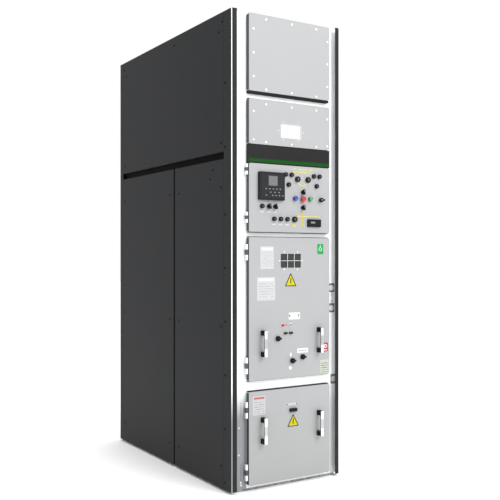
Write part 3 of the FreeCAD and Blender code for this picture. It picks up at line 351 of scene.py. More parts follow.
def on_front(outline, x, z, levels):
    """Rows of an outline standing towards the front. Each level is (draw in, Y)."""
    draw_in = np.array([level[0] for level in levels])[:, None, None]
    half = np.abs(outline).max(0)
    flat = outline * (1.0 - draw_in / half) + np.array([x, z])
    deep = np.broadcast_to(np.array([level[1] for level in levels])[:, None], flat.shape[:2])
    return np.stack([flat[..., 0], deep, flat[..., 1]], 2)


def plate(outline, x, z, back, front, edge=0.0004):
    """Plate whose front edge is drawn in by edge, as a deburred or moulded edge is."""
    return skin(on_front(outline, x, z, [(0.0, back), (0.0, front + edge), (edge, front)]))


def plates(outline, places, back, front, edge=0.0004):
    """The same plate at each of the (X, Z) places."""
    return [plate(outline, x, z, back, front, edge) for x, z in places]


def piece(name, surfaces, body, finish, smooth=False):
    """One mesh from closed surfaces, riding on a body and taking the finish it is given."""
    points, faces, start = [], [], 0
    for spots, quads, fans in surfaces:
        points.append(spots)
        faces += (quads + start).tolist() + (fans + start).tolist()
        start += len(spots)
    mesh = bpy.data.meshes.new(name)
    mesh.from_pydata(np.concatenate(points).tolist(), [], faces)
    mesh.materials.append(finish)
    mesh.polygons.foreach_set("use_smooth", np.full(len(mesh.polygons), smooth))
    made = bpy.data.objects.new(name, mesh)
    bpy.context.collection.objects.link(made)
    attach(made, body)


door_face = -0.665
door_back = door_face + 0.0002  # the back of what is stuck on, let in a little so it meets
bead_wide, bead_front = 0.0025, door_face - 0.0008
bead_levels = [(0.0, door_face), (0.0, bead_front), (bead_wide, bead_front),
               (bead_wide, door_face)]
piece("window_bead",
      [band_skin(on_front(round_rectangle(0.1245, 0.0685, 0.004), 0.021, 1.743, bead_levels))],
      "cabinet", window_sheet)


# ---- Window studs
# Six small studs of white plastic, pushed through the panel from the front.
# They clip the window sheet to its back, round the opening.
def carried_round(profile, x, z, around):
    """Rows (x + r cos a, Y, z + r sin a) of each (r, Y) in the profile, for a all round."""
    angle = np.linspace(0.0, 2 * np.pi, around, endpoint=False)
    radius, deep = np.array(profile).T
    return np.stack([x + radius[:, None] * np.cos(angle),
                     np.broadcast_to(deep[:, None], (len(radius), around)),
                     z + radius[:, None] * np.sin(angle)], 2)


def turned(profile, x, z, around=28):
    """Solid turned about a line along Y, closed by a pole at each end of its profile."""
    return skin(carried_round(profile, x, z, around))


def ring(outer, inner, x, z, back, front, around=28):
    """Ring of square section about a line along Y, from its back to its front."""
    profile = [(outer, back), (outer, front), (inner, front), (inner, back)]
    return band_skin(carried_round(profile, x, z, around))


def dome(radius, back, height, steps=7):
    """Profile of a dome: radius falls as a cosine while its height rises as a sine."""
    shoulder = 0.0006
    lift = np.linspace(0.0, 0.96 * np.pi / 2, steps)
    return [(radius, back)] + list(zip(radius * np.cos(lift),
                                       back - shoulder - height * np.sin(lift)))


def heads(profile, places, around=28):
    """The same turned head at each of the (X, Z) places."""
    return [turned(profile, x, z, around) for x, z in places]


stud_places = [(-0.024, 1.786), (0.062, 1.786), (-0.024, 1.700), (0.062, 1.700), (-0.054, 1.743),
               (0.094, 1.743)]
piece("window_studs", heads(dome(0.0036, door_back, 0.0014, 4), stud_places, 14),
      "cabinet", window_sheet, smooth=True)


# ---- Screws
# Zinc-plated pan heads on the fixed front panels, bright against the grey. Those on the posts
# and covers are blackened, and show as darker dots on the dark sheet.
bright_zinc, shader, where = new_finish("bright_zinc", Metallic=0.35)
plated = grain(where, 0.002, 3.0)
feed(shader, Base_Color=blend(plated, (0.72, 0.73, 0.73, 1.0), (0.88, 0.89, 0.89, 1.0)),
     Roughness=0.25 + plated * 0.12, Normal=bump(plated, 0.00003))
front_half_width, front_depth = 0.3, -0.6
dress(["panel_screws"], bright_zinc, black_and_recess_shade, choose=lambda middle:
      (np.abs(middle[:, 0]) > front_half_width) | (middle[:, 1] > front_depth))


# ---- Shadow gaps
# Thin black lips on the frame round the free edges of the doors and the window panel, and a
# deeper black strip under the top panel: painted shadow in the gaps there.
def strip(start, end, width, back, front):
    """Thin strip between two places: a round-ended outline turned in its plane."""
    start, end = np.array(start), np.array(end)
    run = end - start
    length = float(np.hypot(*run))
    along, across = run / length, np.array([-run[1], run[0]]) / length
    flat = round_rectangle(length + width, width, width * 0.3, 3)
    return plate(flat[:, :1] * along + flat[:, 1:] * across, *(start + end) / 2, back, front, 0.0)


# Near black, with a random drift of tone: painted shadow in the gaps.
painted_shadow_gap_black, shader, where = new_finish("painted_shadow_gap_black", Specular_IOR_Level=0.1)
gap_tone_drift = grain(where, 0.03, 4.0)
feed(shader, Base_Color=blend(gap_tone_drift, tint(34, 34, 36), tint(48, 48, 50)),
     Roughness=0.7 + gap_tone_drift * 0.15, Normal=bump(grain(where, 0.001), 0.00003))
frame_face = -0.640
frame_back = frame_face + 0.0002
lips = [((-0.222, z), (0.258, z)) for z in (1.5768, 1.2432, 1.2218, 0.5262, 0.4788, 1.8868)]
lips += [((0.2622, low), (0.2622, high))
         for low, high in ((1.247, 1.573), (0.530, 1.218), (0.030, 0.475))]
piece("shadow_gap_lips", [strip(*ends, 0.0026, frame_back, frame_face - 0.014) for ends in lips],
      "cabinet", painted_shadow_gap_black)
piece("shadow_gap_strip", [plate(round_rectangle(0.484, 0.011, 0.003), 0.0175, 1.9158, frame_back,
                           frame_face - 0.021, 0.002)],
      "cabinet", painted_shadow_gap_black)


# ---- Hinges
# Six lift-off hinges: a leaf welded to the front frame with two knuckles and a pin, and the
# door's own dark knuckle between them. The leaf has the frame's coat, the knuckles bare zinc.
leaf_front = -0.6435
dress(["hinge_leaves"], bright_zinc, frame_sheet, choose=lambda middle: middle[:, 1] > leaf_front)


# ---- Truck floor, spout wall and partitions
# Galvanised sheet walls that part the breaker, busbar and cable compartments.
# The floor carries two rails for the truck's wheels.
dress(["truck_floor", "spout_wall", "inner_partitions", "relay_compartment_box"], galvanised)


# ---- Spouts and current transformers
# Cast epoxy resin, brown-red and glossy, with faint flow marks from the mould. The spouts guide
# the breaker's arms, and each transformer is bolted under a spout.
resin, shader, where = new_finish("cast_resin", Coat_Weight=0.35, Coat_Roughness=0.12)
flow = grain(where, 0.05, 4.0, (1.0, 1.0, 0.4))
feed(shader, Base_Color=blend(flow, tint(92, 40, 30), tint(122, 58, 42)),
     Roughness=0.3 + flow * 0.14, Normal=bump(grain(where, 0.004, 3.0), 0.00012))
dress(["contact_spouts", "current_transformers"], resin)


# ---- Busbars, barriers and cable bars
# Flat copper bars, drawn and slightly tarnished. The cable bars end in holes for the lugs.
# Red glass-polyester boards hold the busbars apart.
copper, shader, where = new_finish("drawn_copper", Metallic=1.0)
drawn = grain(where, 0.003, 3.0, (0.08, 1.0, 1.0))
tarnish = ease(grain(where, 0.07, 5.0), 0.45, 0.7)
clear = blend(drawn, tint(196, 112, 78), tint(222, 140, 102))
feed(shader, Base_Color=blend(tarnish * 0.6, clear, tint(128, 70, 52)),
     Roughness=0.24 + drawn * 0.1 + tarnish * 0.18, Normal=bump(drawn, 0.00004))
dress(["busbars", "cable_bars"], copper)
finish, shader, where = new_finish("barrier_board")
fibre = grain(where, 0.006, 5.0, (1.0, 0.25, 1.0))
feed(shader, Base_Color=blend(fibre, tint(150, 62, 48), tint(178, 84, 66)),
     Roughness=0.5 + fibre * 0.15, Normal=bump(fibre, 0.0001))
dress(["busbar_barriers"], finish)


# ---- Breaker truck
# Welded chassis on four cast wheels, with the drive in a sheet housing in front and three
# resin poles behind, each with two copper arms that reach into the spouts.
dress(["truck_chassis"], zinc("chassis_zinc", tint(176, 170, 140), tint(214, 208, 172), 0.006))
dress(["breaker_housing"], light_coat)
arm_start, pole_back, pole_top = -0.16, -0.17, 1.0
dress(["breaker_poles"], resin, copper, choose=lambda middle: (middle[:, 1] > arm_start)
      | ((middle[:, 2] > pole_top) & (middle[:, 1] > pole_back)))
finish, shader, where = new_finish("wheel_steel", Metallic=0.9)
turned_marks = grain(where, 0.001, 2.0, (0.1, 1.0, 1.0))
feed(shader, Base_Color=blend(turned_marks, tint(120, 120, 122), tint(160, 160, 160)),
     Roughness=0.32 + turned_marks * 0.15, Normal=bump(turned_marks, 0.00004))
dress(["front_wheels", "rear_wheels"], finish)


# ---- Shutters and earthing blades
# Two galvanised shutters that the truck moves across the spouts as it is drawn out, and the
# earthing switch's copper blades on one shaft below the transformers.
dress(["upper_shutter", "lower_shutter"], galvanised)
dress(["earthing_blades"], copper)


# ---- Relay door
# Folded steel door sprayed light grey, punched for its devices and hung on two hinges.
# Its returns carry the same painted shade as those of the other doors.
dress(["relay_door"], light_coat, return_shade_coat, choose=on_return(1.245, 1.575))


# ---- Relay
# Protection relay in a moulded black case, clamped through the door. Its face has a grey
# display, three rows of pale rubber keys and two columns of small lamps.
def moulded(name, dark, light, gloss=0.42, shine=0.12):
    """Moulded plastic: spark-eroded texture, and a slight change of tone across the piece."""
    finish, shader, where = new_finish(name, Specular_IOR_Level=shine)
    texture = grain(where, 0.0006, 1.0)
    cloud = grain(where, 0.02, 3.0)
    feed(shader, Base_Color=blend(cloud, dark, light), Roughness=gloss + texture * 0.12,
         Normal=bump(texture, 0.00003))
    return finish


black_plastic = moulded("black_plastic", tint(22, 22, 24), tint(34, 34, 36))
relay_plastic = moulded("relay_plastic", tint(34, 35, 38), tint(42, 43, 46))
dress(["protection_relay"], relay_plastic)
relay_face = -0.679
piece("relay_face_recess", [plate(round_rectangle(0.126, 0.116, 0.003), -0.100, 1.468,
                                  relay_face + 0.0005, relay_face - 0.0006)],
      "relay_door_leaf", moulded("relay_face", tint(42, 43, 46), tint(48, 49, 52)))
finish, shader, where = new_finish("relay_display", Coat_Weight=0.3, Coat_Roughness=0.1)
line = axis(where, "Z").maths("FRACT", axis(where, "Z") * 170.0)
feed(shader, Base_Color=blend(ease(line, 0.3, 0.7), tint(104, 108, 106), tint(124, 128, 125)),
     Roughness=0.2 + grain(where, 0.02) * 0.1)
piece("relay_display", [plate(round_rectangle(0.052, 0.047, 0.0015), -0.0955, 1.4935,
                              relay_face, relay_face - 0.0012)],
      "relay_door_leaf", finish)
pale_rubber = moulded("pale_rubber", tint(132, 134, 136), tint(168, 170, 171), 0.55)
key_places = [(-0.136 + 0.0205 * step, 1.454) for step in range(5)]
key_places += [(-0.110 + 0.0245 * step, 1.438) for step in range(3)]
key_places += [(-0.135, 1.423)] + [(-0.098 + 0.0195 * step, 1.423) for step in range(4)]
key_outline = round_rectangle(0.0085, 0.0052, 0.0022)
piece("relay_keys", plates(key_outline, key_places, relay_face, relay_face - 0.0022, 0.0008),
      "relay_door_leaf", pale_rubber)


# ---- Pilot lamps
# Thirteen lamps with black threaded bezels pushed through the door and a smoky domed lens.
# The ten small ones are position lamps, and the three large ones are indicators.
dress(["lamps_and_sockets"], black_plastic)
small_lamps = [(-0.0135, 1.530), (0.021, 1.530), (0.159, 1.530), (0.1935, 1.530),
               (0.004, 1.481), (0.176, 1.481), (-0.152, 1.370), (-0.082, 1.310),
               (-0.043, 1.310), (-0.004, 1.310)]
large_lamps = [(0.058, 1.510), (0.122, 1.510), (0.040, 1.310)]
lamp_front = -0.675
finish, shader, where = new_finish("smoky_lens", Coat_Weight=0.2, Coat_Roughness=0.1)
ribs = axis(where, "X").maths("SINE", axis(where, "X") * 5200.0)
feed(shader, Base_Color=blend(ribs * 0.5 + 0.5, tint(64, 62, 58), tint(96, 92, 84)),
     Roughness=0.16 + grain(where, 0.004) * 0.1)
piece("lamp_lenses", heads(dome(0.0042, lamp_front, 0.0018), small_lamps)
      + heads(dome(0.0068, lamp_front, 0.003), large_lamps),
      "relay_door_leaf", finish, smooth=True)
piece("lamp_bezels",
      [turned([(r, lamp_front), (r, lamp_front - 0.0008), (r - 0.0012, lamp_front - 0.0022),
               (r - 0.0052, lamp_front - 0.0022), (r - 0.006, lamp_front - 0.0004)], x, z)
       for places, r in ((small_lamps, 0.0108), (large_lamps, 0.0138)) for x, z in places],
      "relay_door_leaf", black_plastic)


# ---- Push buttons
# Blue, red and green heads of the relay door, pressed in against a spring.
# Each is a coloured plastic cap, dished for the finger inside a raised rim.
for name, x, z, radius, dark, light in (
        ("blue_button", 0.043, 1.414, 0.012, tint(46, 58, 176), tint(66, 80, 204)),
        ("red_button", 0.090, 1.412, 0.0145, tint(186, 34, 38), tint(208, 56, 58)),
        ("green_button", 0.136, 1.414, 0.011, tint(66, 148, 92), tint(104, 184, 126))):
    colour = moulded(name + "_plastic", dark, light, 0.3, 0.5)
    dress([name], colour)
    front = -0.679
    rim = [(radius - 0.0004, front), (radius - 0.001, front - 0.0016),
           (radius - 0.0024, front - 0.002), (radius - 0.0038, front - 0.0012),
           (radius * 0.4, front - 0.0003)]
    piece(name + "_cap", [turned(rim, x, z)], name + "_body", colour,
          smooth=True)


# ---- Switches
# Rotary switches with a black disc and a lever across it. A white line is inlaid along each
# lever. The two in the mimic diagram have a pale legend plate beside them.
switches = [("left_selector", -0.113, 1.370, 0), ("right_selector", -0.076, 1.370, 0),
            ("breaker_control_switch", 0.090, 1.447, 0),
            ("truck_control_switch", 0.090, 1.370, 0), ("local_remote_switch", 0.203, 1.412, 1)]
dress([name for name, x, z, flat in switches], black_plastic)
white_print = moulded("white_print", tint(244, 245, 246), tint(254, 254, 254), 0.5)
lever_face, line_front = -0.6862, -0.6867
for name, x, z, flat in switches:
    size = (0.010, 0.0016) if flat else (0.0016, 0.010)
    x, z = (x - 0.006, z) if flat else (x, z + 0.006)
    line = plate(round_rectangle(*size, 0.0007), x, z, lever_face, line_front, 0.0001)
    piece(name + "_mark", [line], name + "_body", white_print)
piece("switch_legends", plates(round_rectangle(0.034, 0.032, 0.001),
                               [(0.087, 1.447), (0.087, 1.370)], door_back, door_face - 0.001),
      "relay_door_leaf", moulded("legend_plate", tint(188, 191, 202), tint(204, 207, 216), 0.5))


# ---- Power meter
# Panel meter in a moulded black frame, clipped in its cut-out from the front.
# It has a small pale display whose figures show as upright segments.
meter_front = door_face - 0.011
piece("meter_frame", [plate(round_rectangle(0.081, 0.038, 0.003), 0.1595, 1.294, door_back,
                            meter_front, 0.0012)],
      "relay_door_leaf", black_plastic)
finish, shader, where = new_finish("meter_display", Coat_Weight=0.4, Coat_Roughness=0.06)
segments = (axis(where, "X").maths("FRACT", axis(where, "X") * 210.0) > 0.3)
feed(shader, Base_Color=blend(segments * 0.8, tint(70, 72, 74), tint(176, 178, 178)),
     Roughness=0.25 + grain(where, 0.01) * 0.1)
piece("meter_display", [plate(round_rectangle(0.026, 0.009, 0.001), 0.148, 1.297,
                              meter_front + 0.0005, meter_front - 0.0006, 0.0002)],
      "relay_door_leaf", finish)


# ---- Mimic diagram
# Yellow plastic strip stuck on the relay door, which draws the circuit through the lamps and
# switches: two busbars, the switches, the outgoing line with its arrow, and the earth branch.
def round_triangle(half_width, height, corner, steps=5):
    """Triangle that points up, about the middle of its height, with an arc at each corner."""
    foot, low = half_width - corner * 1.6, -height / 2 + corner
    corners = np.array([[foot, low], [0.0, height / 2 - corner * 2.0], [-foot, low]])
    starts, turns = np.radians([[-90.0, 27.0, 153.0], [117.0, 126.0, 117.0]])
    angle = starts[:, None] + turns[:, None] * np.linspace(0, 1, steps)
    arcs = corners[:, None] + corner * np.stack([np.cos(angle), np.sin(angle)], 2)
    return arcs.reshape(-1, 2)


mimic = [((0.033, 1.560), (0.150, 1.560)), ((0.033, 1.545), (0.150, 1.545)),
         ((0.058, 1.560), (0.058, 1.527)), ((0.122, 1.560), (0.122, 1.527)),
         ((0.062, 1.493), (0.090, 1.472)), ((0.118, 1.493), (0.090, 1.472)),
         ((0.090, 1.472), (0.090, 1.462)), ((0.090, 1.354), (0.090, 1.292)),
         ((0.056, 1.327), (0.198, 1.327)), ((0.056, 1.327), (0.046, 1.322)),
         ((0.040, 1.294), (0.040, 1.286)), ((0.029, 1.286), (0.051, 1.286)),
         ((0.033, 1.281), (0.047, 1.281)), ((0.037, 1.276), (0.043, 1.276))]
piece("mimic_strips", [strip(*ends, 0.0042, door_back, door_face - 0.0005) for ends in mimic],
      "relay_door_leaf", moulded("yellow_strip", tint(226, 216, 108), tint(240, 233, 142), 0.4))
arrow = round_triangle(0.0105, 0.020, 0.0008) * np.array([1.0, -1.0])
over_back, over_front = door_face - 0.0004, door_face - 0.0008
piece("mimic_arrow", [plate(arrow[::-1], 0.090, 1.286, over_back, over_front, 0.0),
                      strip((0.090, 1.352), (0.090, 1.296), 0.0046, over_back, over_front)],
      "relay_door_leaf", moulded("arrow_yellow", tint(214, 198, 16), tint(230, 216, 34), 0.4))


# ---- Labels of the relay door
# Small name plates of white laminate under the lower lamps and the two selectors.
# They are stuck on, and carry no wording.
small_plates = [(x, 1.283) for x in (-0.082, -0.043, -0.004)]
small_plates += [(x, 1.343) for x in (-0.152, -0.113, -0.076)]
piece("lamp_name_plates", plates(round_rectangle(0.024, 0.007, 0.0008), small_plates, door_back,
                                 door_face - 0.0006, 0.0002),
      "relay_door_leaf", moulded("engraved_plate", tint(213, 214, 216), tint(222, 223, 224), 0.5))


# ---- Breaker door
# The middle door, in front of the truck. Its window is six small panes of smoked sheet behind
# a black seal and a white moulded frame, held by six screws.
finish, shader, where = new_finish("smoked_sheet", Roughness=0.1, Coat_Weight=0.5)
mesh_x = axis(where, "X").maths("SINE", axis(where, "X") * 900.0)
mesh_z = axis(where, "Z").maths("SINE", axis(where, "Z") * 900.0)
wires = ease(mesh_x * mesh_z, 0.2, 0.9)
feed(shader, Base_Color=blend(wires, tint(30, 31, 34), tint(58, 60, 64)))
# The door's returns take the same painted shade as the others.
dress(["breaker_door"], light_coat, return_shade_coat, finish,
      choose=with_sheet(on_return(0.528, 1.220), 0.0195, 1.1055, 0.066, 0.04))
seal_bars = [((x, 1.074), (x, 1.137), 0.0064) for x in (-0.0010, 0.0400)]
seal_bars += [((x, 1.073), (x, 1.138), 0.0016) for x in (-0.0397, 0.0787)]
seal_bars += [((-0.038, z), (0.077, z), wide) for z, wide in ((1.1055, 0.0094), (1.0724, 0.0016),
                                                              (1.1386, 0.0016))]
piece("pane_seal", [strip(*bar, door_back, door_face - 0.0008) for bar in seal_bars],
      "breaker_door_leaf", black_plastic)
frame_bars = [((x, 1.070), (x, 1.141)) for x in (-0.0010, 0.0400)]
frame_bars += [((-0.045, 1.1055), (0.084, 1.1055))]
piece("pane_frame", [strip(*ends, 0.0024, door_face - 0.0006, door_face - 0.0014)
                     for ends in frame_bars],
      "breaker_door_leaf", white_print)
screw_places = [(-0.020, 1.1485), (0.060, 1.1485), (-0.048, 1.106), (0.087, 1.106),
                (-0.020, 1.0625), (0.060, 1.0625)]
piece("pane_screws", heads(dome(0.0032, door_back, 0.0016, 4), screw_places, 14),
      "breaker_door_leaf", bright_zinc, smooth=True)


def printed(name, low, high, ground, header, ink, rows):
    """Printed sheet: a header band over rows of ink in uneven dashes, with no letters."""
    finish, shader, where = new_finish(name, Roughness=0.45)
    across = (axis(where, "X") - low[0]) / (high[0] - low[0])
    up = (axis(where, "Z") - low[1]) / (high[1] - low[1])
    row = up * rows
    inside = (across > 0.08) * (across < 0.92) * (up > 0.06)
    which = row.maths("FLOOR", row)
    within = row.maths("FRACT", row)
    spot = which.node("ShaderNodeCombineXYZ", {}, {0: across * 9.0, 1: which * 3.7})
    uneven = {"Vector": spot, "Scale": 1.0, "Detail": 1.0}
    dash = which.node("ShaderNodeTexNoise", {}, uneven) > 0.42
    lines = (within > 0.3) * (within < 0.66) * dash * inside * (up < 0.8)
    head = (up > 0.84) * (up < 0.95) * inside
    feed(shader, Base_Color=blend(head, blend(lines, ground, ink), header))
    return finish


def label(name, body, low, high, finish, corner=0.001):
    """Thin stuck-on label between two corners of a door."""
    outline = round_rectangle(high[0] - low[0], high[1] - low[1], corner, 3)
    piece(name, [plate(outline, (low[0] + high[0]) / 2, (low[1] + high[1]) / 2,
                       door_back, door_face - 0.0004, 0.0001)],
          body, finish)


for name, low, high, rows in (("circuit_label", (-0.160, 1.066), (-0.083, 1.175), 14),
                              ("rating_label", (-0.179, 0.913), (-0.075, 1.026), 9)):
    label(name, "breaker_door_leaf", low, high,
          printed(name + "_print", low, high, tint(213, 215, 218), tint(232, 233, 235),
                  tint(186, 189, 194), rows))


# ---- Warning plates
# Yellow enamelled triangles with a dark rim and one plain dark stroke, one on each lower door.
enamel = moulded("yellow_enamel", tint(208, 196, 26), tint(226, 216, 46), 0.35)
for door, x, z, tall in (("breaker", 0.0185, 1.0125, 0.066), ("cable", 0.033, 0.3165, 0.062)):
    body = door + "_door_leaf"
    piece(door + "_warning_rim", [plate(round_triangle(0.0345, tall, 0.003), x, z, door_back,
                                        door_face - 0.0005, 0.0)],
          body, black_plastic)
    piece(door + "_warning_face", [plate(round_triangle(0.0275, tall * 0.79, 0.002), x,
                                         z - 0.0028, over_back, over_front, 0.0)],
          body, enamel)
    stroke = strip((x - 0.0012, z - 0.017), (x + 0.0012, z + 0.007), 0.0048, door_face - 0.0007,
                   door_face - 0.0011)
    piece(door + "_warning_stroke", [stroke], body, black_plastic)


# ---- Knobs, tabs and buttons of the breaker door
# Black moulded knobs on spindles, two black wing tabs that cover key slots, and a red and a
# white push button, each with a plain mark beside it.
dress(["interlock_knob", "door_lock_knob", "racking_shield_knob", "cable_door_latch"],
      black_plastic)
red_plastic = moulded("red_plastic", tint(190, 30, 44), tint(212, 50, 62), 0.35)
dress(["trip_button"], red_plastic)
dress(["close_button"], white_print)
button_face = -0.6729
piece("close_button_centre", [plate(round_rectangle(0.009, 0.009, 0.0044), 0.015, 0.789,
                                    button_face, button_face - 0.0005, 0.0001)],
      "close_button_body", black_plastic)
piece("button_rings", [ring(0.0105, 0.0078, x, 0.789, door_back, door_face - 0.0014)
                       for x in (-0.032, 0.015)],
      "breaker_door_leaf", white_print)
piece("button_mark", [plate(round_rectangle(0.006, 0.006, 0.0025), -0.0085, 0.789,
                            door_back, door_face - 0.0006, 0.0001)],
      "breaker_door_leaf", red_plastic)
piece("key_slot_tabs", plates(round_rectangle(0.021, 0.0085, 0.004),
                              [(-0.0135, 0.749), (0.0175, 0.749)],
                              door_back, door_face - 0.009, 0.002)
      + heads(dome(0.0058, door_face - 0.0085, 0.002, 5),
              [(-0.0175, 0.7495), (0.0215, 0.7495)], 16),
      "breaker_door_leaf", black_plastic)


# ---- Small signs of the breaker door
# Stuck-on plates: a green one at the top corner, white ones beside the knobs, a red one with a
# white ring near the right handle, and a pale green one below it.
label("green_sign", "breaker_door_leaf", (0.183, 1.138), (0.221, 1.190),
      moulded("green_plate", tint(28, 160, 78), tint(50, 184, 98), 0.4), 0.003)
mark_back, mark_front = door_face - 0.0003, door_face - 0.0007
piece("green_sign_mark", [ring(0.0095, 0.0068, 0.202, 1.164, mark_back, mark_front),
                          strip((0.202, 1.172), (0.202, 1.182), 0.003, mark_back, mark_front)],
      "breaker_door_leaf", white_print)
label("white_sign", "breaker_door_leaf", (0.007, 0.815), (0.075, 0.849), white_print, 0.003)
piece("white_sign_marks", plates(round_rectangle(0.006, 0.012, 0.002),
                                 [(0.013, 0.834), (0.066, 0.834)], mark_back, mark_front, 0.0),
      "breaker_door_leaf", moulded("grey_ink", tint(70, 72, 76), tint(92, 94, 98), 0.5))
arc_angle = np.linspace(-0.9, 0.9, 12)
arc_spots = np.stack([-0.093 + 0.030 * np.cos(arc_angle + np.pi),
                      0.739 + 0.030 * np.sin(arc_angle)], 1)
piece("interlock_arc", [strip(*ends, 0.0035, door_back, door_face - 0.0004)
                        for ends in zip(arc_spots[:-1], arc_spots[1:])],
      "breaker_door_leaf", white_print)
for name, low, high in (("shield_knob_sign", (0.058, 0.646), (0.125, 0.669)),
                        ("lock_knob_sign", (0.014, 0.632), (0.024, 0.650))):
    label(name, "breaker_door_leaf", low, high, white_print)
piece("lock_key_cover", [turned(dome(0.0095, door_back, 0.002, 5), 0.016, 0.576, 24)],
      "breaker_door_leaf", white_print, smooth=True)
label("red_ring_ground", "breaker_door_leaf", (0.216, 0.643), (0.250, 0.688),
      moulded("signal_red", tint(186, 24, 44), tint(204, 40, 58), 0.4), 0.004)
piece("red_ring_mark", [ring(0.0105, 0.005, 0.233, 0.671, mark_back, over_front),
                        strip((0.224, 0.651), (0.242, 0.651), 0.005, mark_back, over_front)],
      "breaker_door_leaf", white_print)
piece("shield_sign_marks", [strip((0.066, 0.6575), (0.117, 0.6575), 0.0022, mark_back,
                                  mark_front)],
      "breaker_door_leaf", moulded("sign_ink", tint(110, 112, 116), tint(134, 136, 140), 0.5))
low, high = (0.200, 0.534), (0.254, 0.602)
label("key_plan_label", "breaker_door_leaf", low, high,
      printed("key_plan_print", low, high, tint(204, 210, 198), tint(204, 210, 198),
              tint(120, 128, 110), 6))


# ---- Handles
# Pull handles: two black moulded end blocks screwed from inside the door, and a black grip across
# them faced with a flat strip of ground stainless steel, painted darker mid-grip as a reflection.
finish, shader, where = new_finish("ground_steel", Metallic=1.0)
ground = grain(where, 0.0012, 3.0, (1.0, 1.0, 0.03))
cable_grips, breaker_grips_above, between = 0.287, 0.419, 0.5
along_grip = axis(where, "Z") - cable_grips - breaker_grips_above * (axis(where, "Z") > between)
# Painted reflection: the middle of each grip is a darker grey.
middle_reflection_share = ease(along_grip.maths("ABSOLUTE", along_grip), 0.030, 0.018)
plain_ground_steel = blend(ground, (0.66, 0.67, 0.68, 1.0), (0.80, 0.81, 0.82, 1.0))
feed(shader, Base_Color=blend(middle_reflection_share, plain_ground_steel, (0.44, 0.45, 0.46, 1.0)),
     Roughness=0.2 + ground * 0.14, Normal=bump(ground, 0.00003))
grip_face = -0.6999
dress(["breaker_door_handles", "cable_door_handles"], black_plastic, finish,
      choose=lambda middle: middle[:, 1] < grip_face)


# ---- Cable door
# Lowest door, with a printed safety sheet that has no wording, a pale sign over the latch,
# and its own pair of handles.
# The door's returns take the same painted shade as the others.
dress(["cable_door"], light_coat, return_shade_coat, choose=on_return(0.028, 0.477))
low, high = (-0.203, 0.362), (-0.131, 0.453)
label("cable_door_sheet", "cable_door_leaf", low, high,
      printed("cable_sheet_print", low, high, tint(210, 208, 212), tint(196, 104, 106),
              tint(160, 163, 166), 8))
piece("latch_sign", [plate(round_rectangle(0.064, 0.012, 0.003), 0.028, 0.396, door_back,
                           door_face - 0.0004, 0.0001)],
      "cable_door_leaf", moulded("pale_sign", tint(206, 208, 210), tint(222, 223, 224), 0.5))
piece("latch_sign_marks", plates(round_rectangle(0.007, 0.007, 0.003),
                                 [(0.000, 0.396), (0.055, 0.396)], mark_back, mark_front, 0.0),
      "cable_door_leaf", moulded("dark_ink", tint(78, 78, 82), tint(100, 100, 104), 0.5))


# ---- Interlock sockets
# Three square pressed plates on the right upright, each with a round opening for an interlock
# key and a white moulded bush, and small zinc-plated rings between. They are riveted on.
sockets = [(0.2915, 0.9655, 0.039, 0.045), (0.2915, 0.862, 0.039, 0.046),
           (0.303, 0.4955, 0.032, 0.049)]
bush = [(0.0148, frame_face - 0.0018), (0.0148, frame_face - 0.003),
        (0.0125, frame_face - 0.0036), (0.006, frame_face - 0.0036)]
piece("socket_plates", [plate(round_rectangle(wide, tall, 0.003), x, z, frame_back,
                              frame_face - 0.002, 0.0006) for x, z, wide, tall in sockets],
      "cabinet", moulded("socket_plate", tint(118, 114, 114), tint(142, 139, 139), 0.4))
piece("socket_discs", heads(bush, [socket[:2] for socket in sockets]),
      "cabinet", white_print)
piece("socket_rings", heads([(0.0085, frame_back), (0.0085, frame_face - 0.003),
                             (0.0055, frame_face - 0.003), (0.0055, frame_face - 0.001)],
                            [(0.2935, 0.930), (0.2935, 0.897), (0.246, 0.499)]),
      "cabinet", bright_zinc)


# ---- Terminal rails
# Two zinc-plated rails on the rear wall of the relay compartment, full of moulded terminal
# blocks that clip on, and a grey slotted duct between them that carries the control wires.
wall_face = -0.3418
piece("terminal_rails", plates(round_rectangle(0.520, 0.035, 0.001),
                               [(0.0, 1.330), (0.0, 1.520)], wall_face, wall_face - 0.004),
      "cabinet", bright_zinc)
block_places = [(-0.2430 + 0.0088 * step, z) for z in (1.330, 1.520) for step in range(56)]
piece("terminal_blocks", plates(round_rectangle(0.0082, 0.046, 0.0012, 3), block_places,
                                wall_face - 0.0038, wall_face - 0.043, 0.003),
      "cabinet", moulded("beige_terminal", tint(172, 168, 154), tint(192, 188, 174), 0.5))
piece("terminal_screws", heads(dome(0.0026, wall_face - 0.0425, 0.001, 3),
                               [(x, z + side) for x, z in block_places
                                for side in (-0.014, 0.014)], 10),
      "cabinet", bright_zinc, smooth=True)
finish, shader, where = new_finish("slotted_duct", Roughness=0.5, Specular_IOR_Level=0.2)
# Painted shade: dark stripes stand for the slots, off a plain band along the middle.
slot_shade = axis(where, "X").maths("FRACT", axis(where, "X") * 80.0) > 0.7
edges = axis(where, "Z").maths("ABSOLUTE", axis(where, "Z") - 1.425) > 0.012
feed(shader, Base_Color=blend(slot_shade * edges, tint(150, 152, 154), tint(60, 60, 62)))
piece("wire_duct", [plate(round_rectangle(0.520, 0.060, 0.002), 0.0, 1.425, wall_face,
                          wall_face - 0.050, 0.002)],
      "cabinet", finish)


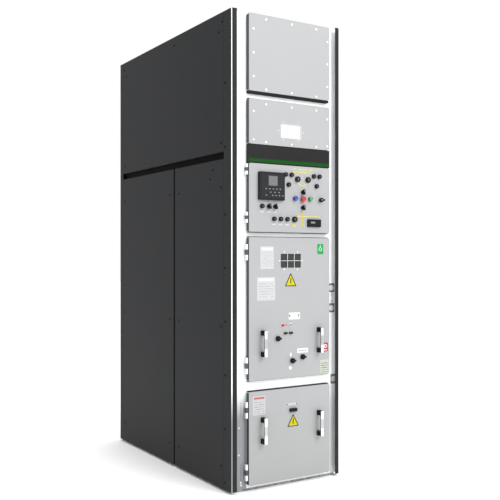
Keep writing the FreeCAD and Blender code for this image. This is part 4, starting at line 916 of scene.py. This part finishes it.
# ---- Earth bar
# Flat copper bar on two galvanised brackets over the gland plate, where the cable screens and
# the cabinet's own earth are bolted. Its bolts are zinc-plated.
bar_back, bar_front = -0.560, -0.568
piece("earth_bar", [plate(round_rectangle(0.540, 0.030, 0.0015), 0.0, 0.115, bar_back, bar_front,
                          0.0008)],
      "cabinet", copper)
piece("earth_bar_brackets", plates(round_rectangle(0.030, 0.078, 0.002),
                                   [(-0.235, 0.0915), (0.235, 0.0915)], -0.557, bar_back),
      "cabinet", galvanised)
hexagon = np.stack([np.cos(np.arange(6) * np.pi / 3), np.sin(np.arange(6) * np.pi / 3)], 1)
bolt_places = [(x, 0.115) for x in np.linspace(-0.235, 0.235, 9)]
piece("earth_bar_bolts", plates(hexagon * 0.0092, bolt_places, -0.5678, -0.5742, 0.0008),
      "cabinet", bright_zinc)


# ---- Breaker front
# Moulded dark panel screwed to the housing, with the mechanism's push buttons, indicator
# windows and charging lever, and the steel socket of the racking handle below.
housing_face = -0.425
housing_back, on_panel = housing_face + 0.0002, housing_face - 0.0038
piece("breaker_panel", [plate(round_rectangle(0.300, 0.150, 0.008), 0.0, 0.875, housing_back,
                              housing_face - 0.004, 0.0015)],
      "breaker_truck", moulded("breaker_panel_plastic", tint(58, 60, 64), tint(70, 72, 76), 0.45))
for name, x, dark, light, slot in (
        ("breaker_off_button", -0.050, tint(180, 36, 40), tint(204, 58, 60), "red_plastic"),
        ("breaker_on_button", 0.000, tint(48, 140, 78), tint(80, 168, 104), "green_plastic")):
    rim = [(0.0135, on_panel), (0.013, housing_face - 0.0072), (0.0118, housing_face - 0.0082),
           (0.010, housing_face - 0.0074), (0.004, housing_face - 0.0068)]
    piece(name, [turned(rim, x, 0.840)], "breaker_truck",
          moulded(name + "_plastic", dark, light, 0.3), smooth=True)
piece("breaker_windows", plates(round_rectangle(0.032, 0.018, 0.002),
                                [(x, 0.905) for x in (-0.050, 0.000, 0.050)], on_panel,
                                housing_face - 0.0052),
      "breaker_truck", white_print)
piece("charging_lever", [strip((0.108, 0.830), (0.108, 0.915), 0.018, on_panel,
                               housing_face - 0.011)],
      "breaker_truck", black_plastic)
piece("racking_socket", [turned([(0.017, housing_back), (0.017, housing_face - 0.004),
                                 (0.0155, housing_face - 0.0055), (0.0105, housing_face - 0.0055),
                                 (0.0105, housing_face - 0.001)], 0.0, 0.640)],
      "breaker_truck", bright_zinc)
corner_places = [(x, z) for x in (-0.140, 0.140) for z in (0.810, 0.940)]
piece("breaker_panel_screws", heads(dome(0.0036, on_panel, 0.0018, 4), corner_places, 14),
      "breaker_truck", bright_zinc, smooth=True)


# ---- Frame screws
# Small zinc-plated screws with low domed heads, four to each upright of the front frame.
# They hold its lower part to the base and the posts.
frame_screws = [(0.306, 0.307), (0.307, 0.154), (0.295, 0.046), (0.295, 0.031), (-0.256, 0.044),
                (-0.256, 0.031), (-0.267, 0.306), (-0.267, 0.176)]
piece("frame_screws", heads(dome(0.0046, frame_back, 0.0022, 5), frame_screws, 16),
      "cabinet", bright_zinc, smooth=True)


# ---- Floor
# Plain pale floor of the studio, a flat sheet so wide that its edge is out of sight.
# It belongs to the stage and not to the cabinet.
far = 30.0
sheet = bpy.data.meshes.new("floor")
sheet.from_pydata([(-far, -far, 0), (far, -far, 0), (far, far, 0), (-far, far, 0)], [],
                  [(0, 1, 2, 3)])
finish, shader, where = new_finish("pale_floor", Roughness=0.7, Specular_IOR_Level=0.2)
feed(shader, Base_Color=blend(grain(where, 1.5), (0.93, 0.93, 0.93, 1.0),
                              (0.95, 0.95, 0.95, 1.0)))
sheet.materials.append(finish)
floor = bpy.data.objects.new("floor", sheet)
bpy.context.collection.objects.link(floor)
